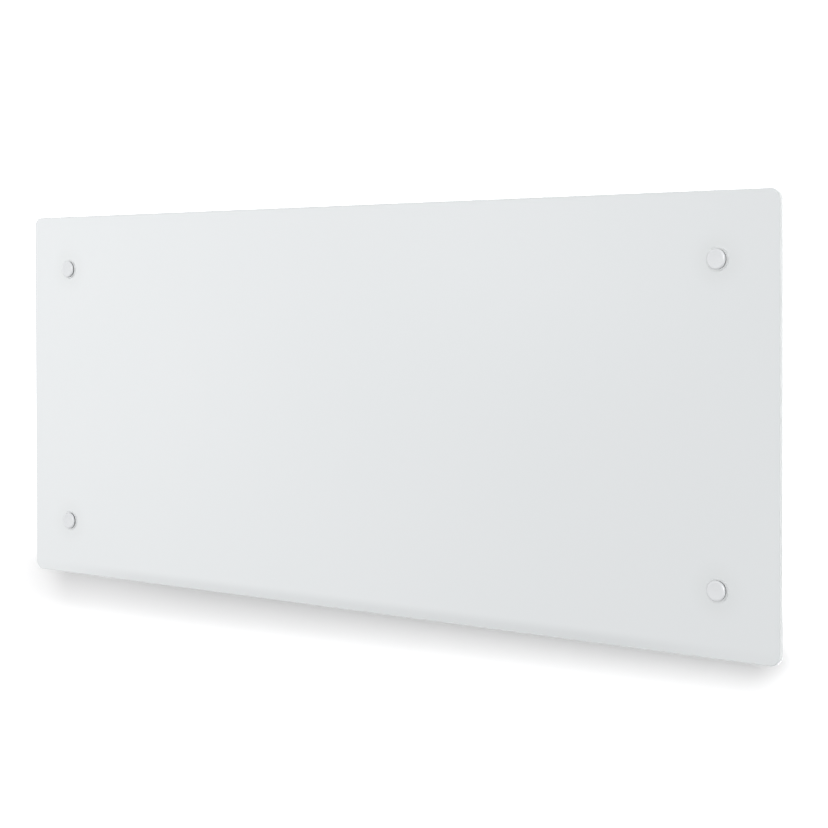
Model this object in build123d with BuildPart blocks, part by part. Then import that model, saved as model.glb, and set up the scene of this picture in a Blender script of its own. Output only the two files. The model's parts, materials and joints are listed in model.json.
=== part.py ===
from build123d import *
import os

os.makedirs("parts", exist_ok=True)

# Frame: x to the right, z up, y = 0 on the wall and the room at -y.
# A depth is a distance from the wall, and a height is measured from the centre of the wall screws.

# Glass front
glass_width = 800.0
glass_height = 340.0
glass_thickness = 5.0
glass_corner = 8.0
glass_bevel = 0.7
glass_hole_radius = 5.0

# Glass fixings
cap_inset = 50.0
cap_radius = 7.5
cap_thickness = 2.8
cap_bevel = 0.6
stem_radius = 3.0
stem_reach = 4.2
bush_flange_radius = 8.8
bush_flange = 0.6
bush_clearance = 0.1
gasket_radius = 9.0
gasket_thickness = 1.0
spacer_radius = 7.0
spacer_length = 8.0
spacer_bevel = 0.5
thread_clearance = 0.05
spacer_screw_radius = 2.9
spacer_screw_reach = 2.5
spacer_screw_head = 4.5
spacer_screw_head_height = 2.6
spacer_screw_round = 0.8

# Case
wall_gap = 24.0
chamber_depth = 43.0
cover_sheet = 1.0
plate_sheet = 1.2
plate_inset = 28.0
plate_lip = 7.2
plate_corner = 4.0
case_inset = 7.0
case_screw_clearance = 0.5
cover_lip = 11.0
end_sheet = 1.2
end_flange = 12.0
end_inset = 1.5
bead_length = 280.0
bead_width = 16.0
bead_height = 1.6
bead_pitch = 60.0
bead_count = 3
sheet_clearance = 0.3

# Outlet and inlet slats
slat_count = 3
slat_thickness = 1.3
slat_height = 10.0
slat_lean = 2.0
rib_thickness = 1.5
rib_height = 10.0
outlet_rib_count = 5
inlet_rib_count = 6

# Heating element
element_rise = 73.0
element_end_room = 45.0
profile_arm = 29.0
profile_arm_thickness = 2.2
profile_arm_angle = 62.0
profile_hub_radius = 7.0
profile_bead_radius = 2.0
profile_rib_height = 1.4
profile_ribs_per_arm = 4
rod_radius = 4.2
rod_clearance = 0.05
rod_overhang = 25.0
rod_pin_radius = 1.2
rod_pin_length = 6.0
insulator_radius = 6.5
insulator_start = 4.0
insulator_length = 18.0
insulator_collar_radius = 8.5
insulator_collar = 4.0
support_sheet = 1.5
support_half_height = 18.0
support_reach = 35.0
support_foot = 13.5
support_screw_spacing = 24.0

# Thermal cut-out
cutout_x = 120.0
cutout_forward = 7.5
cutout_gap = 11.0
cutout_radius = 8.0
cutout_body_height = 10.0
cutout_tab_height = 8.0
cutout_tab_spacing = 8.0
cutout_shelf_width = 24.0
cutout_shelf_sheet = 1.2
cutout_foot_height = 18.0
cutout_shelf_corner = 4.0
cutout_top_round = 1.0

# Control unit
fascia_length = 114.0
fascia_thickness = 1.5
housing_left_margin = 6.5
housing_right_gap = 0.8
housing_back_gap = 2.0
housing_height = 35.0
housing_wall = 1.6
board_margin = 3.2
board_thickness = 1.6
board_drop = 13.0
post_radius = 2.2
post_inset = 3.0
display_x_offset = 30.5
display_window_length = 38.0
display_window_depth = 16.0
display_flange = 1.2
display_flange_thickness = 1.0
display_body_height = 6.5
display_bevel = 0.6
lens_clearance = 0.1
button_size = 11.0
button_corner = 2.0
button_clearance = 0.3
button_flange = 1.0
button_flange_thickness = 1.4
button_rise = 1.2
button_round = 0.6
button_pitch = 15.0
button_first_offset = 60.5
button_stem_radius = 1.6
button_travel = 0.6
plunger_gap = 0.2
switch_block_size = 6.0
switch_block_height = 3.5
plunger_radius = 1.7
plunger_height = 1.0
wireless_length = 34.0
wireless_width = 6.0
wireless_height = 2.8
wireless_bevel = 0.5
wireless_gap = 1.7
relay_length = 19.0
relay_width = 15.0
relay_height = 14.5
transformer_length = 24.0
transformer_width = 17.0
transformer_height = 15.0
block_edge = 0.6
block_spacing = 3.0
wire_hole_length = 24.0
wire_hole_width = 10.0

# Mains rocker switch
switch_drop = 90.0
switch_body_length = 19.0
switch_body_width = 12.8
switch_body_depth = 16.0
switch_flange_length = 23.0
switch_flange_width = 16.0
switch_flange_thickness = 2.0
switch_panel_clearance = 0.2
switch_wall = 0.8
switch_floor = 1.8
switch_corner = 2.0
switch_bevel = 0.6
rocker_length = 16.4
rocker_width = 10.6
rocker_back = 4.0
rocker_crown = 5.0
rocker_dip = 1.8
rocker_angle = 8.0
rocker_pivot_setback = 3.0
rocker_pin_radius = 1.5
rocker_pin_length = 0.7
rocker_end_gap = 0.8
rocker_round = 0.6
switch_tab_length = 8.0
switch_tab_thickness = 0.8
switch_tab_width = 4.8
switch_tab_pitch = 7.0

# Cable gland, terminal block and earth point
gland_rise = 22.0
gland_bore_radius = 4.2
gland_thread_radius = 8.0
gland_thread_length = 10.0
gland_hex_flat = 22.0
gland_hex_height = 5.0
gland_dome_radius = 9.5
gland_dome_length = 8.0
gland_dome_round = 3.0
gland_clearance = 0.1
gland_nut_height = 4.5
terminal_inset = 66.8
terminal_rise = 32.5
terminal_length = 42.0
terminal_height = 21.0
terminal_thickness = 16.0
terminal_pitch = 14.0
terminal_screw_radius = 2.4
terminal_screw_depth = 4.0
terminal_round = 0.8
earth_inset = 103.8
earth_rise = 32.0
earth_tag_radius = 4.2
earth_tag_sheet = 0.8
earth_barrel_radius = 1.8
earth_barrel_length = 6.0
earth_screw_head_radius = 3.5
earth_screw_head_height = 2.5
earth_screw_round = 0.8

# Room air sensor
sensor_rise = 47.0
sensor_radius = 2.2
sensor_length = 12.0
cage_radius = 8.0
cage_length = 8.0
cage_wall = 1.4
cage_slot_width = 2.0
cage_slot_count = 6
cage_round = 2.0
sensor_nose = 2.0

# Fasteners
case_screw_radius = 1.9
case_screw_head_radius = 3.6
case_screw_head_height = 1.8
case_screw_length = 6.0
case_screw_clearance_hole = 0.2
case_screw_pitch = 100.0
case_screw_rows = 3
rivet_radius = 1.6
rivet_head_radius = 2.6
rivet_head_height = 1.2

# Hanging
hook_spacing = 440.0
hinge_rise = 25.0
hinge_depth = 13.0
hinge_pin_radius = 3.0
hinge_clearance = 0.05
hinge_pin_overhang = 2.0
hinge_pin_bevel = 0.6
cradle_radius = 7.0
cradle_sheet = 2.5
cradle_lip = 10.0
ear_gap = 10.0
ear_sheet = 2.0
ear_radius = 6.5
lug_width = 32.0
lug_height = 32.0
lug_sheet = 2.0
lug_corner = 3.0
lug_rivet_spacing_x = 23.0
lug_rivet_spacing_z = 20.0
latch_drop = 30.0
latch_height = 12.0
tongue_sheet = 1.5
tongue_tip_depth = 10.0
tongue_base_width = 24.0
tongue_base_height = 20.0
tongue_rivet_spacing = 14.0
tongue_tip_round = 3.0
clip_wire = 0.8
clip_height = 14.0
clip_half_width = 4.0
clip_neck_clearance = 0.35
clip_neck_depth = 13.5
clip_mouth_depth = 17.5
clip_shoulder_depth = 8.0
clip_bend = 1.2

# Wall bracket
upright_width = 30.0
upright_sheet = 1.5
upright_flange = 9.5
upright_margin = 22.0
upright_head_room = 5.0
upright_window = 12.0
upright_window_height = 25.0
cradle_root = 14.0
wall_hole_pitch = 160.0
wall_hole_radius = 3.25
rail_height = 24.0
rail_pitch = 100.0
rail_sheet = 1.5
rail_clearance = 0.3

# Wires
wire_radius = 1.1
wire_bend = 4.0
wire_standoff = 3.2
wire_turn = 6.0
wire_pitch = 5.0

# Depths from the wall, worked out from the sizes
cover_back = wall_gap
cover_front = cover_back + cover_sheet
plate_back = cover_front + chamber_depth
plate_front = plate_back + plate_sheet
spacer_front = plate_front + spacer_length
glass_back = spacer_front + gasket_thickness
glass_front_depth = glass_back + glass_thickness
cap_seat = glass_front_depth + bush_flange

# Widths and heights, worked out from the sizes
cap_pitch_x = glass_width - 2 * cap_inset
cap_pitch_z = glass_height - 2 * cap_inset
plate_width = glass_width - 2 * plate_inset
plate_height = glass_height - 2 * plate_inset
chamber_middle = (cover_front + plate_back) / 2
case_width = cap_pitch_x - 2 * (spacer_screw_head + case_screw_clearance)
case_height = plate_height - 2 * case_inset
case_end = case_width / 2
case_top = case_height / 2
web_inside = case_end - end_sheet
chamber_end = web_inside - sheet_clearance
end_height = case_height - 2 * end_inset
slat_zone_start = cover_back + cover_lip
slat_gap = (plate_back - slat_zone_start - slat_count * slat_thickness) / (slat_count + 1)
fascia_right = chamber_end
fascia_left = fascia_right - fascia_length
fascia_bottom = case_top - fascia_thickness
housing_left = fascia_left + housing_left_margin
housing_right = web_inside - end_flange - housing_right_gap
housing_back_depth = slat_zone_start + housing_back_gap
housing_floor = fascia_bottom - housing_height
board_top = fascia_bottom - board_drop
board_bottom = board_top - board_thickness
board_left = housing_left + housing_wall + board_margin
board_right = housing_right - housing_wall - board_margin
board_back = housing_back_depth + housing_wall + board_margin
board_front = plate_back - housing_wall - board_margin
button_depth = (board_back + board_front) / 2
display_x = fascia_left + display_x_offset
wire_hole_x = board_right - wire_hole_length / 2
hinge_height = hinge_rise - case_top
latch_middle = case_top - latch_drop
profile_length = case_width - 2 * element_end_room
element_height = element_rise - case_top
rod_half = profile_length / 2 + rod_overhang
pin_end = rod_half + rod_pin_length
cutout_depth = chamber_middle + cutout_forward
cutout_shelf_height = element_height + profile_arm + cutout_gap
switch_height = case_top - switch_drop
gland_height = gland_rise - case_top
sensor_height = sensor_rise - case_top
terminal_x = web_inside - terminal_inset
terminal_middle = terminal_rise - case_top
earth_x = web_inside - earth_inset
earth_height = earth_rise - case_top
sides = {"left": -1, "right": 1}


def block(xs, depths, zs, mode=Mode.ADD):
    """Add a box between two x values, two depths and two heights."""
    middle = ((xs[0] + xs[1]) / 2, -(depths[0] + depths[1]) / 2, (zs[0] + zs[1]) / 2)
    with Locations(middle):
        Box(abs(xs[1] - xs[0]), abs(depths[1] - depths[0]), abs(zs[1] - zs[0]), mode=mode)


def around(centre, width):
    """Give the two ends of a span of this width about its centre."""
    return (centre - width / 2, centre + width / 2)


def wire(name, route):
    """Sweep one insulated wire along a route of (x, depth, height) points."""
    with BuildPart() as run:
        with BuildLine() as path:
            FilletPolyline(*[(x, -depth, z) for x, depth, z in route], radius=wire_bend)
        with BuildSketch(Plane(origin=path.line @ 0, z_dir=path.line % 0)):
            Circle(wire_radius)
        sweep()
    run.part.label = name
    export_step(run.part, f"parts/{name}.step")


# Glass front: one sheet with bevelled edges and four holes
with BuildPart() as glass_front:
    with BuildSketch(Plane.XZ.offset(glass_back)):
        RectangleRounded(glass_width, glass_height, glass_corner)
        with GridLocations(cap_pitch_x, cap_pitch_z, 2, 2):
            Circle(glass_hole_radius, mode=Mode.SUBTRACT)
    extrude(amount=glass_thickness)
    glass_faces = glass_front.faces().sort_by(Axis.Y)
    glass_rims = glass_faces[0].outer_wire().edges() + glass_faces[-1].outer_wire().edges()
    chamfer(glass_rims, length=glass_bevel)
glass_front.part.label = "glass_front"
export_step(glass_front.part, "parts/glass_front.step")

# Glass caps: turned metal discs, each on its own threaded stem
with BuildPart() as glass_caps:
    with BuildSketch(Plane.XZ.offset(cap_seat)):
        with GridLocations(cap_pitch_x, cap_pitch_z, 2, 2):
            Circle(cap_radius)
    extrude(amount=cap_thickness)
    chamfer(glass_caps.faces().sort_by(Axis.Y)[:4].edges(), length=cap_bevel)
    with BuildSketch(Plane.XZ.offset(spacer_front - stem_reach)):
        with GridLocations(cap_pitch_x, cap_pitch_z, 2, 2):
            Circle(stem_radius)
    extrude(amount=cap_seat - spacer_front + stem_reach)
glass_caps.part.label = "glass_caps"
export_step(glass_caps.part, "parts/glass_caps.step")

# Glass bushes: a thin ring under each cap and a sleeve through the glass
with BuildPart() as glass_bushes:
    with BuildSketch(Plane.XZ.offset(glass_front_depth)):
        with GridLocations(cap_pitch_x, cap_pitch_z, 2, 2):
            Circle(bush_flange_radius)
            Circle(stem_radius + bush_clearance, mode=Mode.SUBTRACT)
    extrude(amount=bush_flange)
    with BuildSketch(Plane.XZ.offset(glass_back)):
        with GridLocations(cap_pitch_x, cap_pitch_z, 2, 2):
            Circle(glass_hole_radius - bush_clearance)
            Circle(stem_radius + bush_clearance, mode=Mode.SUBTRACT)
    extrude(amount=glass_thickness)
glass_bushes.part.label = "glass_bushes"
export_step(glass_bushes.part, "parts/glass_bushes.step")

# Glass gaskets: soft rings between the glass and the spacers
with BuildPart() as glass_gaskets:
    with BuildSketch(Plane.XZ.offset(spacer_front)):
        with GridLocations(cap_pitch_x, cap_pitch_z, 2, 2):
            Circle(gasket_radius)
            Circle(stem_radius + bush_clearance, mode=Mode.SUBTRACT)
    extrude(amount=gasket_thickness)
glass_gaskets.part.label = "glass_gaskets"
export_step(glass_gaskets.part, "parts/glass_gaskets.step")

# Glass spacers: threaded stand-offs between the front plate and the glass
with BuildPart() as glass_spacers:
    with BuildSketch(Plane.XZ.offset(plate_front)):
        with GridLocations(cap_pitch_x, cap_pitch_z, 2, 2):
            Circle(spacer_radius)
    extrude(amount=spacer_length)
    chamfer(glass_spacers.edges().filter_by(GeomType.CIRCLE), length=spacer_bevel)
    with BuildSketch(Plane.XZ.offset(plate_front)):
        with GridLocations(cap_pitch_x, cap_pitch_z, 2, 2):
            Circle(stem_radius + thread_clearance)
    extrude(amount=spacer_length, mode=Mode.SUBTRACT)
glass_spacers.part.label = "glass_spacers"
export_step(glass_spacers.part, "parts/glass_spacers.step")

# Spacer screws: hold the spacers from behind the front plate
with BuildPart() as spacer_screws:
    with BuildSketch(Plane.XZ.offset(plate_back - spacer_screw_head_height)):
        with GridLocations(cap_pitch_x, cap_pitch_z, 2, 2):
            Circle(spacer_screw_head)
    extrude(amount=spacer_screw_head_height)
    fillet(spacer_screws.faces().sort_by(Axis.Y)[-4:].edges(), radius=spacer_screw_round)
    with BuildSketch(Plane.XZ.offset(plate_back)):
        with GridLocations(cap_pitch_x, cap_pitch_z, 2, 2):
            Circle(spacer_screw_radius)
    extrude(amount=plate_sheet + spacer_screw_reach)
spacer_screws.part.label = "spacer_screws"
export_step(spacer_screws.part, "parts/spacer_screws.step")

# Front plate: folded steel sheet that carries the glass and everything inside
end_screw_x = web_inside - end_flange / 2
with BuildPart() as front_plate:
    with BuildSketch(Plane.XZ.offset(plate_back)):
        RectangleRounded(plate_width, plate_height, plate_corner)
        inner_width = plate_width - 2 * plate_sheet
        inner_height = plate_height - 2 * plate_sheet
        RectangleRounded(inner_width, inner_height, plate_corner - plate_sheet, mode=Mode.SUBTRACT)
    extrude(amount=plate_lip)
    with BuildSketch(Plane.XZ.offset(plate_back)):
        RectangleRounded(plate_width, plate_height, plate_corner)
        with GridLocations(cap_pitch_x, cap_pitch_z, 2, 2):
            Circle(spacer_screw_radius + case_screw_clearance_hole, mode=Mode.SUBTRACT)
        with GridLocations(2 * end_screw_x, case_screw_pitch, 2, case_screw_rows):
            Circle(case_screw_radius + case_screw_clearance_hole, mode=Mode.SUBTRACT)
    extrude(amount=plate_sheet)
front_plate.part.label = "front_plate"
export_step(front_plate.part, "parts/front_plate.step")

# Rear cover: steel sheet with folded lips along the top and bottom and pressed beads
with BuildPart() as rear_cover:
    with BuildSketch(Plane.XZ.offset(cover_back)):
        Rectangle(case_width, case_height)
    extrude(amount=cover_sheet)
    block((-case_end, case_end), (cover_front, slat_zone_start), (case_top - cover_sheet, case_top))
    block((-case_end, case_end), (cover_front, slat_zone_start), (-case_top, cover_sheet - case_top))
    with BuildSketch(Plane.XZ.offset(cover_back - bead_height)):
        with GridLocations(0, bead_pitch, 1, bead_count):
            SlotOverall(bead_length, bead_width)
    extrude(amount=bead_height)
    with BuildSketch(Plane.XZ.offset(cover_front - bead_height)):
        with GridLocations(0, bead_pitch, 1, bead_count):
            SlotOverall(bead_length - 2 * cover_sheet, bead_width - 2 * cover_sheet)
    extrude(amount=bead_height, mode=Mode.SUBTRACT)
    with BuildSketch(Plane.XZ.offset(cover_back)):
        with GridLocations(2 * end_screw_x, case_screw_pitch, 2, case_screw_rows):
            Circle(case_screw_radius + case_screw_clearance_hole)
        for side in sides.values():
            with Locations((side * hook_spacing / 2, hinge_height)):
                with GridLocations(lug_rivet_spacing_x, lug_rivet_spacing_z, 2, 2):
                    Circle(rivet_radius + thread_clearance)
            with Locations((side * hook_spacing / 2, latch_middle)):
                with GridLocations(tongue_rivet_spacing, 0, 2, 1):
                    Circle(rivet_radius + thread_clearance)
    extrude(amount=cover_sheet, mode=Mode.SUBTRACT)
rear_cover.part.label = "rear_cover"
export_step(rear_cover.part, "parts/rear_cover.step")

# End panels: channels that join the front plate to the rear cover
for name, side in sides.items():
    with BuildPart() as end_panel:
        block((side * web_inside, side * case_end), (cover_front, plate_back), around(0, end_height))
        flange_span = (side * (web_inside - end_flange), side * web_inside)
        block(flange_span, (cover_front, cover_front + end_sheet), around(0, end_height))
        block(flange_span, (plate_back - end_sheet, plate_back), around(0, end_height))
        for depth in (cover_front, plate_back - end_sheet):
            with BuildSketch(Plane.XZ.offset(depth)):
                with Locations((side * end_screw_x, 0)):
                    with GridLocations(0, case_screw_pitch, 1, case_screw_rows):
                        Circle(case_screw_radius + thread_clearance)
            extrude(amount=end_sheet, mode=Mode.SUBTRACT)
        if side > 0:
            cut_length = switch_body_length + 2 * switch_panel_clearance
            cut_width = switch_body_width + 2 * switch_panel_clearance
            with BuildSketch(Plane.YZ.offset(web_inside)):
                with Locations((-chamber_middle, switch_height)):
                    Rectangle(cut_width, cut_length)
                with Locations((-chamber_middle, gland_height)):
                    Circle(gland_thread_radius + gland_clearance)
                with Locations((-chamber_middle, sensor_height)):
                    Circle(sensor_radius + gland_clearance)
            extrude(amount=end_sheet, mode=Mode.SUBTRACT)
    end_panel.part.label = f"{name}_end_panel"
    export_step(end_panel.part, f"parts/{name}_end_panel.step")

# Case screws: from behind into the end panels, and from the front through the plate
with BuildPart() as case_screws:
    for head_depth, out in ((cover_back, -1), (plate_front, 1)):
        with BuildSketch(Plane.XZ.offset(head_depth)):
            with GridLocations(2 * end_screw_x, case_screw_pitch, 2, case_screw_rows):
                Circle(case_screw_head_radius)
        extrude(amount=out * case_screw_head_height)
        with BuildSketch(Plane.XZ.offset(head_depth)):
            with GridLocations(2 * end_screw_x, case_screw_pitch, 2, case_screw_rows):
                Circle(case_screw_radius)
        extrude(amount=-out * case_screw_length)
case_screws.part.label = "case_screws"
export_step(case_screws.part, "parts/case_screws.step")


def slats(name, ends, bottom, lean):
    """Make the long slats of one grille, each a leaning strip standing in its row."""
    with BuildPart() as row:
        with BuildSketch(Plane.YZ.offset(ends[0])):
            for index in range(slat_count):
                depth = slat_zone_start + slat_gap + index * (slat_gap + slat_thickness)
                foot = (-depth, bottom)
                foot_front = (-depth - slat_thickness, bottom)
                head_front = (-depth - slat_thickness - lean, bottom + slat_height)
                head = (-depth - lean, bottom + slat_height)
                Polygon(foot, foot_front, head_front, head, align=None)
        extrude(amount=ends[1] - ends[0])
    row.part.label = name
    export_step(row.part, f"parts/{name}.step")


# Outlet grille in the top and inlet grille in the bottom of the case
outlet_ends = (-chamber_end, fascia_left - sheet_clearance)
inlet_ends = (-chamber_end, chamber_end)
slats("outlet_slats", outlet_ends, case_top - slat_height, slat_lean)
slats("inlet_slats", inlet_ends, -case_top, 0)

# Grille ribs: cross pieces that carry the slats of both grilles
with BuildPart() as grille_ribs:
    for ends, count, bottom in (
        (outlet_ends, outlet_rib_count, case_top - slat_height - rib_height),
        (inlet_ends, inlet_rib_count, slat_height - case_top),
    ):
        rib_pitch = (ends[1] - ends[0]) / count
        for index in range(count):
            rib_span = around(ends[0] + (index + 0.5) * rib_pitch, rib_thickness)
            block(rib_span, (cover_front, plate_back), (bottom, bottom + rib_height))
grille_ribs.part.label = "grille_ribs"
export_step(grille_ribs.part, "parts/grille_ribs.step")

# Heating profile: an extruded cross of finned arms round a tube
profile_start = Plane.YZ.offset(-profile_length / 2)
with BuildPart() as heating_profile:
    with BuildSketch(profile_start):
        with Locations((-chamber_middle, element_height)):
            Circle(profile_hub_radius)
            for tilt in (profile_arm_angle, -profile_arm_angle):
                Rectangle(2 * profile_arm, profile_arm_thickness, rotation=tilt)
        for quarter in range(4):
            tilt = profile_arm_angle * (1 if quarter % 2 else -1) + 180 * (quarter // 2)
            arm = Vector(1, 0).rotate(Axis.Z, tilt)
            with Locations(Vector(-chamber_middle, element_height) + arm * profile_arm):
                Circle(profile_bead_radius)
            for index in range(profile_ribs_per_arm):
                reach = profile_hub_radius + (index + 1) * (profile_arm - profile_hub_radius) / (
                    profile_ribs_per_arm + 1
                )
                with Locations(Vector(-chamber_middle, element_height) + arm * reach):
                    fin = profile_arm_thickness + 2 * profile_rib_height
                    Rectangle(profile_rib_height, fin, rotation=tilt)
        with Locations((-chamber_middle, element_height)):
            Circle(rod_radius + rod_clearance, mode=Mode.SUBTRACT)
    extrude(amount=profile_length)
heating_profile.part.label = "heating_profile"
export_step(heating_profile.part, "parts/heating_profile.step")

# Heating rod: sheathed rod with a terminal pin at each end
with BuildPart() as heating_rod:
    for radius, half in ((rod_radius, rod_half), (rod_pin_radius, pin_end)):
        with BuildSketch(Plane.YZ.offset(-half)):
            with Locations((-chamber_middle, element_height)):
                Circle(radius)
        extrude(amount=2 * half)
heating_rod.part.label = "heating_rod"
export_step(heating_rod.part, "parts/heating_rod.step")

# Rod insulators: ceramic sleeves with a collar that bears on each support
insulator_near = profile_length / 2 + insulator_start
insulator_seat = insulator_near + insulator_collar * 2
with BuildPart() as rod_insulators:
    for side in sides.values():
        with BuildSketch(Plane.YZ.offset(side * insulator_near)):
            with Locations((-chamber_middle, element_height)):
                Circle(insulator_radius)
        extrude(amount=side * insulator_length)
        with BuildSketch(Plane.YZ.offset(side * (insulator_seat - insulator_collar))):
            with Locations((-chamber_middle, element_height)):
                Circle(insulator_collar_radius)
        extrude(amount=side * insulator_collar)
        with BuildSketch(Plane.YZ.offset(side * insulator_near)):
            with Locations((-chamber_middle, element_height)):
                Circle(rod_radius + rod_clearance)
        extrude(amount=side * insulator_length, mode=Mode.SUBTRACT)
rod_insulators.part.label = "rod_insulators"
export_step(rod_insulators.part, "parts/rod_insulators.step")

# Element supports: angle brackets from the front plate to the insulators
support_zs = around(element_height, 2 * support_half_height)
support_screw_x = insulator_seat + support_sheet + support_foot / 2
for name, side in sides.items():
    with BuildPart() as element_support:
        outer = insulator_seat + support_sheet
        support_span = (side * insulator_seat, side * outer)
        block(support_span, (plate_back - support_reach, plate_back), support_zs)
        foot_span = (side * insulator_seat, side * (outer + support_foot))
        block(foot_span, (plate_back - support_sheet, plate_back), support_zs)
        with BuildSketch(Plane.YZ.offset(side * insulator_seat)):
            with Locations((-chamber_middle, element_height)):
                Circle(insulator_radius + rod_clearance)
        extrude(amount=side * support_sheet, mode=Mode.SUBTRACT)
        with BuildSketch(Plane.XZ.offset(plate_back - support_sheet)):
            with Locations((side * support_screw_x, element_height)):
                with GridLocations(0, support_screw_spacing, 1, 2):
                    Circle(rivet_radius + thread_clearance)
        extrude(amount=support_sheet, mode=Mode.SUBTRACT)
    element_support.part.label = f"{name}_element_support"
    export_step(element_support.part, f"parts/{name}_element_support.step")

# Cut-out bracket: an angle on the front plate with a shelf just above the element
shelf_back = cutout_depth - cutout_radius
with BuildPart() as cutout_bracket:
    shelf_zs = (cutout_shelf_height - cutout_shelf_sheet, cutout_shelf_height)
    block(around(cutout_x, cutout_shelf_width), (shelf_back, plate_back), shelf_zs)
    foot_zs = (cutout_shelf_height, cutout_shelf_height + cutout_foot_height)
    block(around(cutout_x, cutout_shelf_width), (plate_back - cutout_shelf_sheet, plate_back), foot_zs)
    fillet(cutout_bracket.edges().filter_by(Axis.Z).sort_by(Axis.Y)[-2:], radius=cutout_shelf_corner)
cutout_bracket.part.label = "cutout_bracket"
export_step(cutout_bracket.part, "parts/cutout_bracket.step")

# Thermal cut-out: a snap disc switch with two tabs
with BuildPart() as thermal_cutout:
    with BuildSketch(Plane.XY.offset(cutout_shelf_height)):
        with Locations((cutout_x, -cutout_depth)):
            Circle(cutout_radius)
    extrude(amount=cutout_body_height)
    fillet(thermal_cutout.faces().sort_by(Axis.Z)[-1].edges(), radius=cutout_top_round)
    with BuildSketch(Plane.XY.offset(cutout_shelf_height + cutout_body_height)):
        with Locations((cutout_x, -cutout_depth)):
            with GridLocations(cutout_tab_spacing, 0, 2, 1):
                Rectangle(switch_tab_thickness, switch_tab_width)
    extrude(amount=cutout_tab_height)
thermal_cutout.part.label = "thermal_cutout"
export_step(thermal_cutout.part, "parts/thermal_cutout.step")

# Control housing: an open tray under the fascia, with four posts for the board
housing_span = (housing_left, housing_right)
housing_depths = (housing_back_depth, plate_back)
with BuildPart() as control_housing:
    block(housing_span, housing_depths, (housing_floor, fascia_bottom))
    inner_span = (housing_left + housing_wall, housing_right - housing_wall)
    inner_depths = (housing_back_depth + housing_wall, plate_back - housing_wall)
    block(inner_span, inner_depths, (housing_floor + housing_wall, fascia_bottom), Mode.SUBTRACT)
    with BuildSketch(Plane.XY.offset(housing_floor + housing_wall)):
        with Locations(((board_left + board_right) / 2, -button_depth)):
            post_pitch_x = board_right - board_left - 2 * post_inset
            post_pitch_y = board_front - board_back - 2 * post_inset
            with GridLocations(post_pitch_x, post_pitch_y, 2, 2):
                Circle(post_radius)
    extrude(amount=board_bottom - housing_floor - housing_wall)
    wire_hole = around(wire_hole_x, wire_hole_length)
    wire_hole_depths = around(button_depth, wire_hole_width)
    block(wire_hole, wire_hole_depths, (housing_floor, housing_floor + housing_wall), Mode.SUBTRACT)
control_housing.part.label = "control_housing"
export_step(control_housing.part, "parts/control_housing.step")

# Control fascia: the flat top with the display window and three button holes
button_xs = [fascia_left + button_first_offset + index * button_pitch for index in range(3)]
fascia_depths = (slat_zone_start + sheet_clearance, plate_back - sheet_clearance)
with BuildPart() as control_fascia:
    block((fascia_left, fascia_right), fascia_depths, (fascia_bottom, case_top))
    with BuildSketch(Plane.XY.offset(fascia_bottom)):
        with Locations((display_x, -button_depth)):
            Rectangle(display_window_length, display_window_depth)
        with Locations([(x, -button_depth) for x in button_xs]):
            hole_size = button_size + 2 * button_clearance
            RectangleRounded(hole_size, hole_size, button_corner + button_clearance)
    extrude(amount=fascia_thickness, mode=Mode.SUBTRACT)
control_fascia.part.label = "control_fascia"
export_step(control_fascia.part, "parts/control_fascia.step")

# Display lens: a clear window with a flange under the fascia
with BuildPart() as display_lens:
    with BuildSketch(Plane.XY.offset(fascia_bottom)):
        with Locations((display_x, -button_depth)):
            lens_gap = 2 * lens_clearance
            Rectangle(display_window_length - lens_gap, display_window_depth - lens_gap)
    extrude(amount=fascia_thickness)
    with BuildSketch(Plane.XY.offset(fascia_bottom - display_flange_thickness)):
        with Locations((display_x, -button_depth)):
            lens_flange = 2 * display_flange
            Rectangle(display_window_length + lens_flange, display_window_depth + lens_flange)
    extrude(amount=display_flange_thickness)
display_lens.part.label = "display_lens"
export_step(display_lens.part, "parts/display_lens.step")

# Display module: the lit block under the lens
with BuildPart() as display_module:
    with BuildSketch(Plane.XY.offset(board_top)):
        with Locations((display_x, -button_depth)):
            Rectangle(display_window_length, display_window_depth)
    extrude(amount=display_body_height)
    chamfer(display_module.faces().sort_by(Axis.Z)[-1].edges(), length=display_bevel)
display_module.part.label = "display_module"
export_step(display_module.part, "parts/display_module.step")

# Control board
with BuildPart() as control_board:
    block((board_left, board_right), (board_back, board_front), (board_bottom, board_top))
control_board.part.label = "control_board"
export_step(control_board.part, "parts/control_board.step")

# Push switches under the buttons
with BuildPart() as push_switches:
    with BuildSketch(Plane.XY.offset(board_top)):
        with Locations([(x, -button_depth) for x in button_xs]):
            Rectangle(switch_block_size, switch_block_size)
    extrude(amount=switch_block_height)
    with BuildSketch(Plane.XY.offset(board_top + switch_block_height)):
        with Locations([(x, -button_depth) for x in button_xs]):
            Circle(plunger_radius)
    extrude(amount=plunger_height)
push_switches.part.label = "push_switches"
export_step(push_switches.part, "parts/push_switches.step")

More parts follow.
